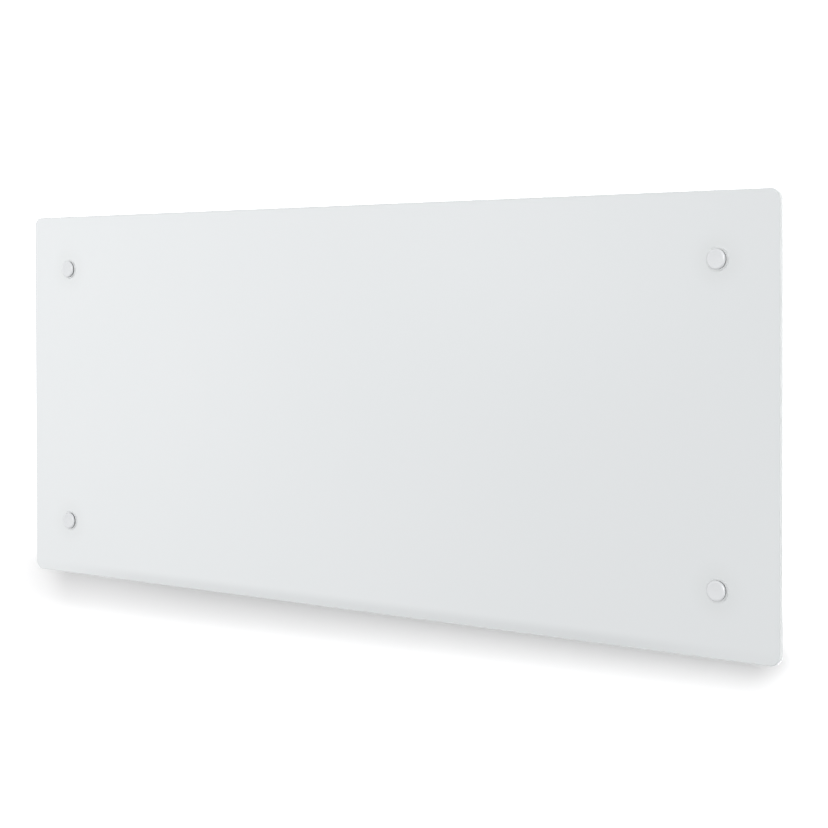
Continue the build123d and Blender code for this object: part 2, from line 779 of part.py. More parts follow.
# Buttons: caps that stand a little proud of the fascia, each with a flange below it and a stem
button_names = ("minus_button", "plus_button", "confirm_button")
button_flange_top = fascia_bottom - button_clearance
button_flange_bottom = button_flange_top - button_flange_thickness
stem_bottom = board_top + switch_block_height + plunger_height + button_travel + plunger_gap
for name, x in zip(button_names, button_xs):
    with BuildPart() as button:
        with BuildSketch(Plane.XY.offset(button_flange_bottom)):
            with Locations((x, -button_depth)):
                RectangleRounded(button_size, button_size, button_corner)
        extrude(amount=case_top + button_rise - button_flange_bottom)
        fillet(button.faces().sort_by(Axis.Z)[-1].edges(), radius=button_round)
        with BuildSketch(Plane.XY.offset(button_flange_bottom)):
            with Locations((x, -button_depth)):
                flange_size = button_size + 2 * button_flange
                RectangleRounded(flange_size, flange_size, button_corner)
        extrude(amount=button_flange_thickness)
        with BuildSketch(Plane.XY.offset(stem_bottom)):
            with Locations((x, -button_depth)):
                Circle(button_stem_radius)
        extrude(amount=button_flange_bottom - stem_bottom)
    button.part.label = name
    export_step(button.part, f"parts/{name}.step")

# Wireless module on the board, in front of the push switches
wireless_x = button_xs[1]
wireless_depth = button_depth + switch_block_size / 2 + wireless_gap + wireless_width / 2
with BuildPart() as wireless_module:
    with BuildSketch(Plane.XY.offset(board_top)):
        with Locations((wireless_x, -wireless_depth)):
            Rectangle(wireless_length, wireless_width)
    extrude(amount=wireless_height)
    chamfer(wireless_module.faces().sort_by(Axis.Z)[-1].edges(), length=wireless_bevel)
wireless_module.part.label = "wireless_module"
export_step(wireless_module.part, "parts/wireless_module.step")

# Relay and transformer, under the board
transformer_x = board_left + 2 * post_inset + transformer_length / 2
relay_x = transformer_x + transformer_length / 2 + block_spacing + relay_length / 2
with BuildPart() as transformer:
    with BuildSketch(Plane.XY.offset(board_bottom)):
        with Locations((transformer_x, -button_depth)):
            Rectangle(transformer_length, transformer_width)
    extrude(amount=-transformer_height)
    chamfer(transformer.faces().sort_by(Axis.Z)[0].edges(), length=block_edge)
transformer.part.label = "transformer"
export_step(transformer.part, "parts/transformer.step")

with BuildPart() as relay:
    with BuildSketch(Plane.XY.offset(board_bottom)):
        with Locations((relay_x, -button_depth)):
            Rectangle(relay_length, relay_width)
    extrude(amount=-relay_height)
    fillet(relay.edges().filter_by(Axis.Z), radius=block_edge)
relay.part.label = "relay"
export_step(relay.part, "parts/relay.step")

# Rocker switch body: a flanged shell let into the right end panel, with three tabs behind
switch_back = case_end - switch_body_depth
rocker_pivot_x = case_end - rocker_pivot_setback
cavity_length = rocker_length + 2 * rocker_end_gap
cavity_width = switch_body_width - 2 * switch_wall
tab_ends = (switch_back - switch_tab_length, switch_back)
with BuildPart() as switch_body:
    with BuildSketch(Plane.YZ.offset(switch_back)):
        with Locations((-chamber_middle, switch_height)):
            Rectangle(switch_body_width, switch_body_length)
    extrude(amount=switch_body_depth)
    with BuildSketch(Plane.YZ.offset(case_end)):
        with Locations((-chamber_middle, switch_height)):
            RectangleRounded(switch_flange_width, switch_flange_length, switch_corner)
    extrude(amount=switch_flange_thickness)
    chamfer(switch_body.faces().sort_by(Axis.X)[-1].edges(), length=switch_bevel)
    with BuildSketch(Plane.YZ.offset(switch_back + switch_floor)):
        with Locations((-chamber_middle, switch_height)):
            Rectangle(cavity_width, cavity_length)
    extrude(amount=switch_body_depth + switch_flange_thickness - switch_floor, mode=Mode.SUBTRACT)
    with BuildSketch(Plane.XZ.offset(chamber_middle - switch_body_width / 2)):
        with Locations((rocker_pivot_x, switch_height)):
            Circle(rocker_pin_radius + hinge_clearance)
    extrude(amount=switch_body_width, mode=Mode.SUBTRACT)
    with BuildSketch(Plane.YZ.offset(tab_ends[0])):
        with Locations((-chamber_middle, switch_height)):
            with GridLocations(0, switch_tab_pitch, 1, 3):
                Rectangle(switch_tab_thickness, switch_tab_width)
    extrude(amount=switch_tab_length)
switch_body.part.label = "switch_body"
export_step(switch_body.part, "parts/switch_body.step")

# Rocker: pressed in at its lower half, on two short pivot pins
rocker_half = rocker_length / 2
rocker_frame = Plane(
    origin=(rocker_pivot_x, -(chamber_middle - rocker_width / 2), switch_height),
    x_dir=Vector(1, 0, 0).rotate(Axis.Y, rocker_angle),
    z_dir=(0, -1, 0),
)
with BuildPart() as rocker:
    with BuildSketch(rocker_frame):
        back_low = (-rocker_back, -rocker_half)
        crown_low = (rocker_crown, -rocker_half)
        dip = (rocker_crown - rocker_dip, 0)
        crown_high = (rocker_crown, rocker_half)
        back_high = (-rocker_back, rocker_half)
        Polygon(back_low, crown_low, dip, crown_high, back_high, align=None)
    extrude(amount=rocker_width)
    fillet(rocker.edges().filter_by(Axis.Y).sort_by(Axis.X)[-3:], radius=rocker_round)
    with BuildSketch(rocker_frame.offset(-rocker_pin_length)):
        Circle(rocker_pin_radius)
    extrude(amount=rocker_width + 2 * rocker_pin_length)
rocker.part.label = "rocker"
export_step(rocker.part, "parts/rocker.step")

# Cable gland: threaded barrel, hexagon and domed nut round a through bore
gland_inner = case_end - gland_thread_length
gland_outer = case_end + gland_hex_height + gland_dome_length
with BuildPart() as cable_gland:
    with BuildSketch(Plane.YZ.offset(gland_inner)):
        with Locations((-chamber_middle, gland_height)):
            Circle(gland_thread_radius)
    extrude(amount=gland_thread_length)
    with BuildSketch(Plane.YZ.offset(case_end)):
        with Locations((-chamber_middle, gland_height)):
            RegularPolygon(gland_hex_flat / 2, 6, major_radius=False)
    extrude(amount=gland_hex_height)
    with BuildSketch(Plane.YZ.offset(case_end + gland_hex_height)):
        with Locations((-chamber_middle, gland_height)):
            Circle(gland_dome_radius)
    extrude(amount=gland_dome_length)
    fillet(cable_gland.faces().sort_by(Axis.X)[-1].edges(), radius=gland_dome_round)
    with BuildSketch(Plane.YZ.offset(gland_inner)):
        with Locations((-chamber_middle, gland_height)):
            Circle(gland_bore_radius)
    extrude(amount=gland_outer - gland_inner, mode=Mode.SUBTRACT)
cable_gland.part.label = "cable_gland"
export_step(cable_gland.part, "parts/cable_gland.step")

# Gland nut, inside the right end panel
with BuildPart() as gland_nut:
    with BuildSketch(Plane.YZ.offset(web_inside)):
        with Locations((-chamber_middle, gland_height)):
            RegularPolygon(gland_hex_flat / 2, 6, major_radius=False)
            Circle(gland_thread_radius + thread_clearance, mode=Mode.SUBTRACT)
    extrude(amount=-gland_nut_height)
gland_nut.part.label = "gland_nut"
export_step(gland_nut.part, "parts/gland_nut.step")

# Terminal block on the front plate, with three clamp screws
terminal_depths = (plate_back - terminal_thickness, plate_back)
with BuildPart() as terminal_block:
    terminal_zs = around(terminal_middle, terminal_height)
    block(around(terminal_x, terminal_length), terminal_depths, terminal_zs)
    fillet(terminal_block.edges().filter_by(Axis.Y), radius=terminal_round)
    with BuildSketch(Plane.XZ.offset(terminal_depths[0])):
        with Locations((terminal_x, terminal_middle)):
            with GridLocations(terminal_pitch, 0, 3, 1):
                Circle(terminal_screw_radius)
    extrude(amount=terminal_screw_depth, mode=Mode.SUBTRACT)
terminal_block.part.label = "terminal_block"
export_step(terminal_block.part, "parts/terminal_block.step")

# Earth tag: ring terminal with a crimp barrel
earth_barrel_depth = plate_back - earth_barrel_radius
with BuildPart() as earth_tag:
    with BuildSketch(Plane.XZ.offset(plate_back - earth_tag_sheet)):
        with Locations((earth_x, earth_height)):
            Circle(earth_tag_radius)
    extrude(amount=earth_tag_sheet)
    with BuildSketch(Plane.XY.offset(earth_height + earth_tag_radius)):
        with Locations((earth_x, -earth_barrel_depth)):
            Circle(earth_barrel_radius)
    extrude(amount=earth_barrel_length)
    neck_zs = (earth_height, earth_height + earth_tag_radius + earth_tag_sheet)
    block(around(earth_x, earth_tag_radius), (plate_back - earth_tag_sheet, plate_back), neck_zs)
earth_tag.part.label = "earth_tag"
export_step(earth_tag.part, "parts/earth_tag.step")

# Earth screw
with BuildPart() as earth_screw:
    earth_head_depth = plate_back - earth_tag_sheet - earth_screw_head_height
    with BuildSketch(Plane.XZ.offset(earth_head_depth)):
        with Locations((earth_x, earth_height)):
            Circle(earth_screw_head_radius)
    extrude(amount=earth_screw_head_height)
    fillet(earth_screw.faces().sort_by(Axis.Y)[-1].edges(), radius=earth_screw_round)
earth_screw.part.label = "earth_screw"
export_step(earth_screw.part, "parts/earth_screw.step")

# Sensor cage: a slotted cup on the right end panel
with BuildPart() as sensor_cage:
    with BuildSketch(Plane.YZ.offset(case_end)):
        with Locations((-chamber_middle, sensor_height)):
            Circle(cage_radius)
    extrude(amount=cage_length)
    fillet(sensor_cage.faces().sort_by(Axis.X)[-1].edges(), radius=cage_round)
    with BuildSketch(Plane.YZ.offset(case_end + cage_wall)):
        with Locations((-chamber_middle, sensor_height)):
            Circle(cage_radius - cage_wall)
    extrude(amount=cage_length - 2 * cage_wall, mode=Mode.SUBTRACT)
    with BuildSketch(Plane.YZ.offset(case_end)):
        with Locations((-chamber_middle, sensor_height)):
            Circle(sensor_radius + thread_clearance)
    extrude(amount=cage_wall, mode=Mode.SUBTRACT)
    with BuildSketch(Plane.YZ.offset(case_end + cage_wall)):
        with Locations((-chamber_middle, sensor_height)):
            with PolarLocations(cage_radius, cage_slot_count):
                Rectangle(2 * cage_wall + cage_round, cage_slot_width)
    extrude(amount=cage_length - 2 * cage_wall - cage_round / 2, mode=Mode.SUBTRACT)
sensor_cage.part.label = "sensor_cage"
export_step(sensor_cage.part, "parts/sensor_cage.step")

# Room sensor: a round-nosed probe through the cage's floor
sensor_tip = case_end + cage_length - cage_wall - cage_round / 2
with BuildPart() as room_sensor:
    with BuildSketch(Plane.YZ.offset(sensor_tip - sensor_length)):
        with Locations((-chamber_middle, sensor_height)):
            Circle(sensor_radius)
    extrude(amount=sensor_length)
    fillet(room_sensor.faces().sort_by(Axis.X)[-1].edges(), radius=sensor_nose)
room_sensor.part.label = "room_sensor"
export_step(room_sensor.part, "parts/room_sensor.step")

# Hanger lugs: riveted plates with two ears each
ear_centre = (ear_gap + ear_sheet) / 2
with BuildPart() as hanger_lugs:
    for side in sides.values():
        hook_x = side * hook_spacing / 2
        with BuildSketch(Plane.XZ.offset(cover_back - lug_sheet)):
            with Locations((hook_x, hinge_height)):
                RectangleRounded(lug_width, lug_height, lug_corner)
                with GridLocations(lug_rivet_spacing_x, lug_rivet_spacing_z, 2, 2):
                    Circle(rivet_radius + thread_clearance, mode=Mode.SUBTRACT)
        extrude(amount=lug_sheet)
        for ear_x in (hook_x - ear_centre, hook_x + ear_centre):
            with BuildSketch(Plane.YZ.offset(ear_x - ear_sheet / 2)):
                with Locations((-hinge_depth, hinge_height)):
                    Circle(ear_radius)
                ear_middle = -(hinge_depth + cover_back - lug_sheet) / 2
                with Locations((ear_middle, hinge_height)):
                    Rectangle(cover_back - lug_sheet - hinge_depth, 2 * ear_radius)
                with Locations((-hinge_depth, hinge_height)):
                    Circle(hinge_pin_radius, mode=Mode.SUBTRACT)
            extrude(amount=ear_sheet)
hanger_lugs.part.label = "hanger_lugs"
export_step(hanger_lugs.part, "parts/hanger_lugs.step")

# Hanger pins: pressed through the ears and resting in the cradles
pin_half = ear_gap / 2 + ear_sheet + hinge_pin_overhang
with BuildPart() as hanger_pins:
    for side in sides.values():
        with BuildSketch(Plane.YZ.offset(side * hook_spacing / 2 - pin_half)):
            with Locations((-hinge_depth, hinge_height)):
                Circle(hinge_pin_radius)
        extrude(amount=2 * pin_half)
    chamfer(hanger_pins.edges().filter_by(GeomType.CIRCLE), length=hinge_pin_bevel)
hanger_pins.part.label = "hanger_pins"
export_step(hanger_pins.part, "parts/hanger_pins.step")

# Latch tongues: upright blades that enter the spring clips
with BuildPart() as latch_tongues:
    for side in sides.values():
        hook_x = side * hook_spacing / 2
        tongue_back = cover_back - tongue_sheet
        with BuildSketch(Plane.XZ.offset(tongue_back)):
            with Locations((hook_x, latch_middle)):
                RectangleRounded(tongue_base_width, tongue_base_height, lug_corner)
                with GridLocations(tongue_rivet_spacing, 0, 2, 1):
                    Circle(rivet_radius + thread_clearance, mode=Mode.SUBTRACT)
        extrude(amount=tongue_sheet)
        tongue_zs = around(latch_middle, latch_height)
        block(around(hook_x, tongue_sheet), (tongue_tip_depth, tongue_back), tongue_zs)
    tips = latch_tongues.edges().filter_by(Axis.X).sort_by(Axis.Y)[-4:]
    fillet(tips, radius=tongue_tip_round)
latch_tongues.part.label = "latch_tongues"
export_step(latch_tongues.part, "parts/latch_tongues.step")

# Rivets: fix the lugs and tongues to the rear cover and the element supports to the front plate
support_seat = plate_back - support_sheet
with BuildPart() as rivets:
    for sheet, height, spacing_x, spacing_z, rows in (
        (lug_sheet, hinge_height, lug_rivet_spacing_x, lug_rivet_spacing_z, 2),
        (tongue_sheet, latch_middle, tongue_rivet_spacing, 0, 1),
    ):
        seat = cover_back - sheet
        for radius, start, reach in (
            (rivet_head_radius, seat - rivet_head_height, rivet_head_height),
            (rivet_radius, seat, sheet + cover_sheet),
            (rivet_head_radius, cover_front, rivet_head_height),
        ):
            with BuildSketch(Plane.XZ.offset(start)):
                for side in sides.values():
                    with Locations((side * hook_spacing / 2, height)):
                        with GridLocations(spacing_x, spacing_z, 2, rows):
                            Circle(radius)
            extrude(amount=reach)
    for radius, start, reach in (
        (rivet_head_radius, support_seat - rivet_head_height, rivet_head_height),
        (rivet_radius, support_seat, support_sheet),
    ):
        with BuildSketch(Plane.XZ.offset(start)):
            with Locations((0, element_height)):
                with GridLocations(2 * support_screw_x, support_screw_spacing, 2, 2):
                    Circle(radius)
        extrude(amount=reach)
rivets.part.label = "rivets"
export_step(rivets.part, "parts/rivets.step")

# Wall bracket uprights: channels with a cradle arm below and a rivet hole for the clip above
upright_bottom = hinge_height - upright_margin
upright_top = latch_middle + clip_height / 2 + upright_head_room
rail_zs = [around(row * rail_pitch / 2, rail_height + 2 * rail_clearance) for row in (-1, 1)]
for name, side in sides.items():
    hook_x = side * hook_spacing / 2
    with BuildPart() as upright:
        block(around(hook_x, upright_width), (0, upright_sheet), (upright_bottom, upright_top))
        for edge in (-1, 1):
            outer_x = hook_x + edge * upright_width / 2
            inner_x = outer_x - edge * upright_sheet
            block((inner_x, outer_x), (upright_sheet, upright_flange), (upright_bottom, upright_top))
        inner_edge = hook_x - side * upright_width / 2
        notch_span = (inner_edge, inner_edge + side * upright_sheet)
        for notch_zs in rail_zs:
            block(notch_span, (upright_sheet, upright_flange), notch_zs, Mode.SUBTRACT)
        with BuildSketch(Plane.XZ):
            with Locations((hook_x, 0)):
                with GridLocations(0, wall_hole_pitch, 1, 2):
                    Circle(wall_hole_radius)
            with Locations((hook_x, latch_middle)):
                Circle(rivet_radius + thread_clearance)
            window_x = hook_x + side * (cradle_sheet + upright_window) / 2
            with Locations((window_x, hinge_height)):
                Rectangle(upright_window, upright_window_height)
        extrude(amount=upright_sheet, mode=Mode.SUBTRACT)
        with BuildSketch(Plane.YZ.offset(hook_x - cradle_sheet / 2)):
            with Locations((-hinge_depth, hinge_height)):
                Circle(cradle_radius)
            arm_middle = -(upright_sheet + hinge_depth) / 2
            with Locations((arm_middle, hinge_height)):
                Rectangle(hinge_depth - upright_sheet, 2 * cradle_radius)
            root = -upright_sheet
            Polygon(
                (root, hinge_height - cradle_root),
                (root, hinge_height + cradle_root),
                (-hinge_depth / 2, hinge_height + cradle_radius),
                (-hinge_depth / 2, hinge_height - cradle_radius),
                align=None,
            )
            with Locations((-hinge_depth, hinge_height)):
                Circle(hinge_pin_radius + hinge_clearance, mode=Mode.SUBTRACT)
            with Locations((-hinge_depth, hinge_height + cradle_lip / 2)):
                Rectangle(2 * (hinge_pin_radius + hinge_clearance), cradle_lip, mode=Mode.SUBTRACT)
        extrude(amount=cradle_sheet)
    upright.part.label = f"bracket_{name}_upright"
    export_step(upright.part, f"parts/bracket_{name}_upright.step")

# Wall bracket rails: flat strips across the uprights
rail_half = hook_spacing / 2 + upright_width / 2 - upright_sheet
for name, row in (("lower", -1), ("upper", 1)):
    with BuildPart() as rail:
        rail_depths = (upright_sheet, upright_sheet + rail_sheet)
        block((-rail_half, rail_half), rail_depths, around(row * rail_pitch / 2, rail_height))
    rail.part.label = f"bracket_{name}_rail"
    export_step(rail.part, f"parts/bracket_{name}_rail.step")

# Latch clips: spring steel forks on the uprights
clip_seat = upright_sheet + clip_wire / 2
neck = (tongue_sheet + clip_wire) / 2 + clip_neck_clearance
with BuildPart() as latch_clips:
    with BuildSketch(Plane.XY.offset(latch_middle - clip_height / 2)):
        for side in sides.values():
            hook_x = side * hook_spacing / 2
            arm = [
                (clip_half_width, -clip_mouth_depth),
                (neck, -clip_neck_depth),
                (clip_half_width, -clip_shoulder_depth),
                (clip_half_width, -clip_seat),
            ]
            outline = [(hook_x - x, y) for x, y in arm] + [(hook_x + x, y) for x, y in reversed(arm)]
            with BuildLine():
                FilletPolyline(*outline, radius=clip_bend)
            trace(line_width=clip_wire)
    extrude(amount=clip_height)
    with BuildSketch(Plane.XZ.offset(upright_sheet)):
        with Locations((0, latch_middle)):
            with GridLocations(hook_spacing, 0, 2, 1):
                Circle(rivet_radius + thread_clearance)
    extrude(amount=clip_wire, mode=Mode.SUBTRACT)
latch_clips.part.label = "latch_clips"
export_step(latch_clips.part, "parts/latch_clips.step")

# Clip rivets: hold the clips to the uprights
with BuildPart() as clip_rivets:
    for radius, start, length in (
        (rivet_radius, 0, upright_sheet + clip_wire),
        (rivet_head_radius, upright_sheet + clip_wire, rivet_head_height),
    ):
        with BuildSketch(Plane.XZ.offset(start)):
            with Locations((0, latch_middle)):
                with GridLocations(hook_spacing, 0, 2, 1):
                    Circle(radius)
        extrude(amount=length)
clip_rivets.part.label = "clip_rivets"
export_step(clip_rivets.part, "parts/clip_rivets.step")

# Wires, each whole along its route inside the case, up to the board through the housing's floor
tab_low = switch_height - switch_tab_pitch
tab_high = switch_height + switch_tab_pitch
terminal_top = terminal_middle + terminal_height / 2
run_depth = plate_back - wire_standoff
earth_barrel_top = earth_height + earth_tag_radius + earth_barrel_length
earth_turn = terminal_top + 2 * wire_turn
cutout_tab_top = cutout_shelf_height + cutout_body_height + cutout_tab_height
cutout_turn = cutout_tab_top + 2 * wire_turn
cutout_right_tab = cutout_x + cutout_tab_spacing / 2
cutout_left_tab = cutout_x - cutout_tab_spacing / 2
sensor_back = sensor_tip - sensor_length
pin_turn = pin_end + wire_turn
near_depth = button_depth - wire_pitch / 2
far_depth = button_depth + wire_pitch / 2
sensor_run_x = wire_hole_x - 2 * wire_pitch
wire("earth_wire", [
    (terminal_x - terminal_pitch, run_depth, terminal_top),
    (terminal_x - terminal_pitch, run_depth, earth_turn),
    (earth_x, earth_barrel_depth, earth_turn),
    (earth_x, earth_barrel_depth, earth_barrel_top),
])
wire("live_wire", [
    (terminal_x, run_depth, terminal_top),
    (terminal_x, run_depth, tab_low - 18),
    (terminal_x + 16, chamber_middle, tab_low),
    (tab_ends[0], chamber_middle, tab_low),
])
wire("neutral_wire", [
    (terminal_x + terminal_pitch, run_depth, terminal_top),
    (terminal_x + terminal_pitch, run_depth, housing_floor - 43),
    (wire_hole_x + wire_turn, run_depth, housing_floor - 23),
    (wire_hole_x + wire_turn, far_depth, housing_floor - wire_turn),
    (wire_hole_x + wire_turn, far_depth, board_bottom),
])
wire("switched_wire", [
    (tab_ends[0], chamber_middle, tab_high),
    (tab_ends[0] - 13, chamber_middle, tab_high),
    (wire_hole_x + wire_radius, near_depth, housing_floor - 19),
    (wire_hole_x + wire_radius, near_depth, board_bottom),
])
wire("element_wire", [
    (wire_hole_x - wire_radius, far_depth, board_bottom),
    (wire_hole_x - wire_radius, far_depth, housing_floor - 27),
    (sensor_run_x - wire_radius * 3, run_depth - wire_pitch, housing_floor - 68),
    (sensor_run_x - wire_radius * 3, run_depth - wire_pitch, cutout_turn - 25),
    (pin_turn, chamber_middle + wire_turn / 2, element_height + 34),
    (pin_turn, chamber_middle, element_height),
    (pin_end, chamber_middle, element_height),
])
wire("cutout_wire", [
    (wire_hole_x - 8, far_depth, board_bottom),
    (wire_hole_x - 8, far_depth, housing_floor - 19),
    (wire_hole_x - 74, chamber_middle + 13, cutout_tab_top + 22),
    (cutout_right_tab, cutout_depth, cutout_turn),
    (cutout_right_tab, cutout_depth, cutout_tab_top),
])
wire("link_wire", [
    (cutout_left_tab, cutout_depth, cutout_tab_top),
    (cutout_left_tab, cutout_depth, cutout_turn),
    (cutout_left_tab - 50, cutout_depth + wire_turn / 2, cutout_turn - 2),
    (40 - pin_end, cutout_depth + wire_turn / 2, cutout_turn - 18),
    (-pin_turn, chamber_middle, element_height + 32),
    (-pin_turn, chamber_middle, element_height),
    (-pin_end, chamber_middle, element_height),
])
wire("sensor_wire", [
    (wire_hole_x - wire_pitch, near_depth, board_bottom),
    (wire_hole_x - wire_pitch, near_depth, housing_floor - 19),
    (sensor_run_x, run_depth, housing_floor - 60),
    (sensor_run_x, run_depth, sensor_height + 2),
    (sensor_run_x + 12, chamber_middle + 10, sensor_height - 10),
    (sensor_back - 9, chamber_middle, sensor_height),
    (sensor_back, chamber_middle, sensor_height),
])
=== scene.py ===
"""Glass-fronted panel heater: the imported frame, finished and lit for rendering.

Every length is in metres and every piece lies in the frame of the CAD model: x to the right, y into the wall, z up.
"""

import json
import logging
import math
from collections.abc import Callable, Iterator
from contextlib import contextmanager
from dataclasses import dataclass, field
from enum import Enum
from typing import ClassVar

import bmesh
import bpy
from mathutils import Matrix, Vector

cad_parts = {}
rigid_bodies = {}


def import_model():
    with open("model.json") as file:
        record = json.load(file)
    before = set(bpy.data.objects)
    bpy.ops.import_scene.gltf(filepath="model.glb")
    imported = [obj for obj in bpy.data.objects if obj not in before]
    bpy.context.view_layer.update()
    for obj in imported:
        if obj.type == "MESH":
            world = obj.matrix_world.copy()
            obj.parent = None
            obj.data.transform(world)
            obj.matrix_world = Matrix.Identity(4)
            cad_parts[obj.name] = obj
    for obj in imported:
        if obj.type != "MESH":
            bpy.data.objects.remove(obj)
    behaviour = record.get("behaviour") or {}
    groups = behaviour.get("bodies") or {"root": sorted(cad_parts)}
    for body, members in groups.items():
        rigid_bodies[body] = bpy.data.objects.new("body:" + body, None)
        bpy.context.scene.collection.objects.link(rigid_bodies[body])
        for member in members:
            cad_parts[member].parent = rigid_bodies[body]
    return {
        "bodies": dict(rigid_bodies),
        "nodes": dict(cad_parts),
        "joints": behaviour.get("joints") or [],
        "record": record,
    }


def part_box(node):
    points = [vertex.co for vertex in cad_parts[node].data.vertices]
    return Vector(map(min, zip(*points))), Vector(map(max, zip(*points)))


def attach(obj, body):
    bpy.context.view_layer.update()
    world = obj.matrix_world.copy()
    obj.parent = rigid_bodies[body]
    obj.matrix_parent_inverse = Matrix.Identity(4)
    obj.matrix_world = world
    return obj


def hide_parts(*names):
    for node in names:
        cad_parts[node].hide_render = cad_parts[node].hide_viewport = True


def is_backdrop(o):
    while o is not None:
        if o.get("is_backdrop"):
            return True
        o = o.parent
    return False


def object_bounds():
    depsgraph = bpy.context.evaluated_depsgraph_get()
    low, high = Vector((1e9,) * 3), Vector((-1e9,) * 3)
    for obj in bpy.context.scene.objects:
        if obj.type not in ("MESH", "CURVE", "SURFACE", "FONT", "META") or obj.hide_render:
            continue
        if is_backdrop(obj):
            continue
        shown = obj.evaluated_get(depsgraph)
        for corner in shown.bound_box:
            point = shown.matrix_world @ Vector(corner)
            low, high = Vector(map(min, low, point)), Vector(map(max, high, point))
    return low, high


log = logging.getLogger("heater")

Colour = tuple[float, float, float]
Triple = tuple[float, float, float]
Span = tuple[float, float]
Socket = bpy.types.NodeSocket
Material = bpy.types.Material
Piece = bpy.types.Object
Pick = Callable[[object], bool]
MM = 0.001
QUARTER = math.pi / 2
DUST: Colour = (0.62, 0.60, 0.57)

# The four fixings of the glass stand this far from its middle, across and up.
FIXINGS: Span = (0.350, 0.120)
CAPS = {
    f"{level}_{side}_cap": (across * FIXINGS[0], 0.0, up * FIXINGS[1])
    for level, up in (("upper", 1), ("lower", -1))
    for side, across in (("left", -1), ("right", 1))
}

# The Mix node's sockets share their names, so they are told apart by number.
SHARE, FLOAT_A, FLOAT_B, COLOUR_A, COLOUR_B = 0, 2, 3, 6, 7
FLOAT_OUT, COLOUR_OUT = 0, 2


class Skin(Enum):
    """How the surface of a finish varies."""

    MOULDED = "fine grain of a spark-eroded mould"
    COATED = "orange peel of powder coat"
    SPANGLED = "crystals of hot-dip zinc"
    DRAWN = "fine lines along the run of an extrusion or a rolled sheet"
    TURNED = "fine unevenness left by the lathe"
    CAST = "open pores of fired clay"
    BRAIDED = "crossed threads of a sleeve"


class Graph:
    """Adds nodes to one material or node group and joins them up."""

    def __init__(self, tree: bpy.types.NodeTree) -> None:
        """Takes the node tree that the nodes go into."""
        self.tree = tree

    def node(self, kind: str, inputs: dict | None = None, **settings: object) -> bpy.types.Node:
        """Adds a node.

        Args:
            kind: Blender's name for the kind of node.
            inputs: socket name or number to a value, or to the output socket that feeds it.
            **settings: the node's own settings.

        Returns:
            The new node.
        """
        made = self.tree.nodes.new(kind)
        for name, value in settings.items():
            setattr(made, name, value)
        for key, value in (inputs or {}).items():
            if isinstance(value, Socket):
                self.tree.links.new(value, made.inputs[key])
            else:
                made.inputs[key].default_value = value
        return made

    def group(self, tree: bpy.types.NodeTree, **inputs: object) -> bpy.types.Node:
        """Places a shared node group, with its inputs by name."""
        return self.node("ShaderNodeGroup", inputs, node_tree=tree)

    def maths(self, operation: str, *values: object) -> Socket:
        """Adds a Math node and returns its output."""
        return self.node("ShaderNodeMath", dict(enumerate(values)), operation=operation).outputs[0]

    def vector(self, operation: str, *values: object, output: str = "Vector") -> Socket:
        """Adds a Vector Math node and returns its output."""
        return self.node("ShaderNodeVectorMath", dict(enumerate(values)), operation=operation).outputs[output]

    def noise(self, place: Socket, scale: object, detail: float = 2.0) -> Socket:
        """Adds a Noise Texture and returns its grey value."""
        return self.node("ShaderNodeTexNoise", {"Vector": place, "Scale": scale, "Detail": detail}).outputs[0]

    def part(self, vector: Socket, axis: str) -> Socket:
        """Gives one part of a vector."""
        return self.node("ShaderNodeSeparateXYZ", {"Vector": vector}).outputs[axis]

    def facing(self, axis: str) -> Socket:
        """Gives one part of the surface's direction, as the piece lies at rest."""
        return self.part(self.node("ShaderNodeTexCoord").outputs["Normal"], axis)

    def off_fixing(self, place: Socket) -> Socket:
        """Gives the distance to the axis of the nearest fixing."""
        flat = self.vector("MULTIPLY", self.vector("ABSOLUTE", place), (1.0, 0.0, 1.0))
        return self.vector("DISTANCE", flat, (FIXINGS[0], 0.0, FIXINGS[1]), output="Value")

    def blend(self, share: object, first: object, second: Colour) -> Socket:
        """Mixes two colours.

        Args:
            share: how much of the second one shows, from 0 to 1.
            first: a colour, or the socket that gives it.
            second: a colour.

        Returns:
            The mixed colour.
        """
        under = first if isinstance(first, Socket) else (*first, 1.0)
        inputs = {SHARE: share, COLOUR_A: under, COLOUR_B: (*second, 1.0)}
        return self.node("ShaderNodeMix", inputs, data_type="RGBA").outputs[COLOUR_OUT]

    def mix(self, share: object, first: object, second: object) -> Socket:
        """Mixes two values by a share from 0 to 1 and returns the value."""
        inputs = {SHARE: share, FLOAT_A: first, FLOAT_B: second}
        return self.node("ShaderNodeMix", inputs, data_type="FLOAT").outputs[FLOAT_OUT]

    def spread(self, value: object, source: Span, target: Span = (0.0, 1.0), smooth: bool = False) -> Socket:
        """Maps a value from one span to another.

        Args:
            value: the value or the socket that gives it.
            source: the span that it comes in.
            target: the span that it leaves in, where it is clamped.
            smooth: whether it eases in and out.

        Returns:
            The mapped value.
        """
        inputs = dict(enumerate((value, *source, *target)))
        kind = "SMOOTHSTEP" if smooth else "LINEAR"
        return self.node("ShaderNodeMapRange", inputs, interpolation_type=kind).outputs[0]


class Surface(Graph):
    """The graph of one material, with its shader and the piece's own coordinates."""

    def __init__(self, name: str) -> None:
        """Makes an empty material.

        Args:
            name: its name.
        """
        self.material = bpy.data.materials.new(name)
        self.material.use_nodes = True
        super().__init__(self.material.node_tree)
        self.shader = self.tree.nodes["Principled BSDF"]
        self.place = self.node("ShaderNodeTexCoord").outputs["Object"]


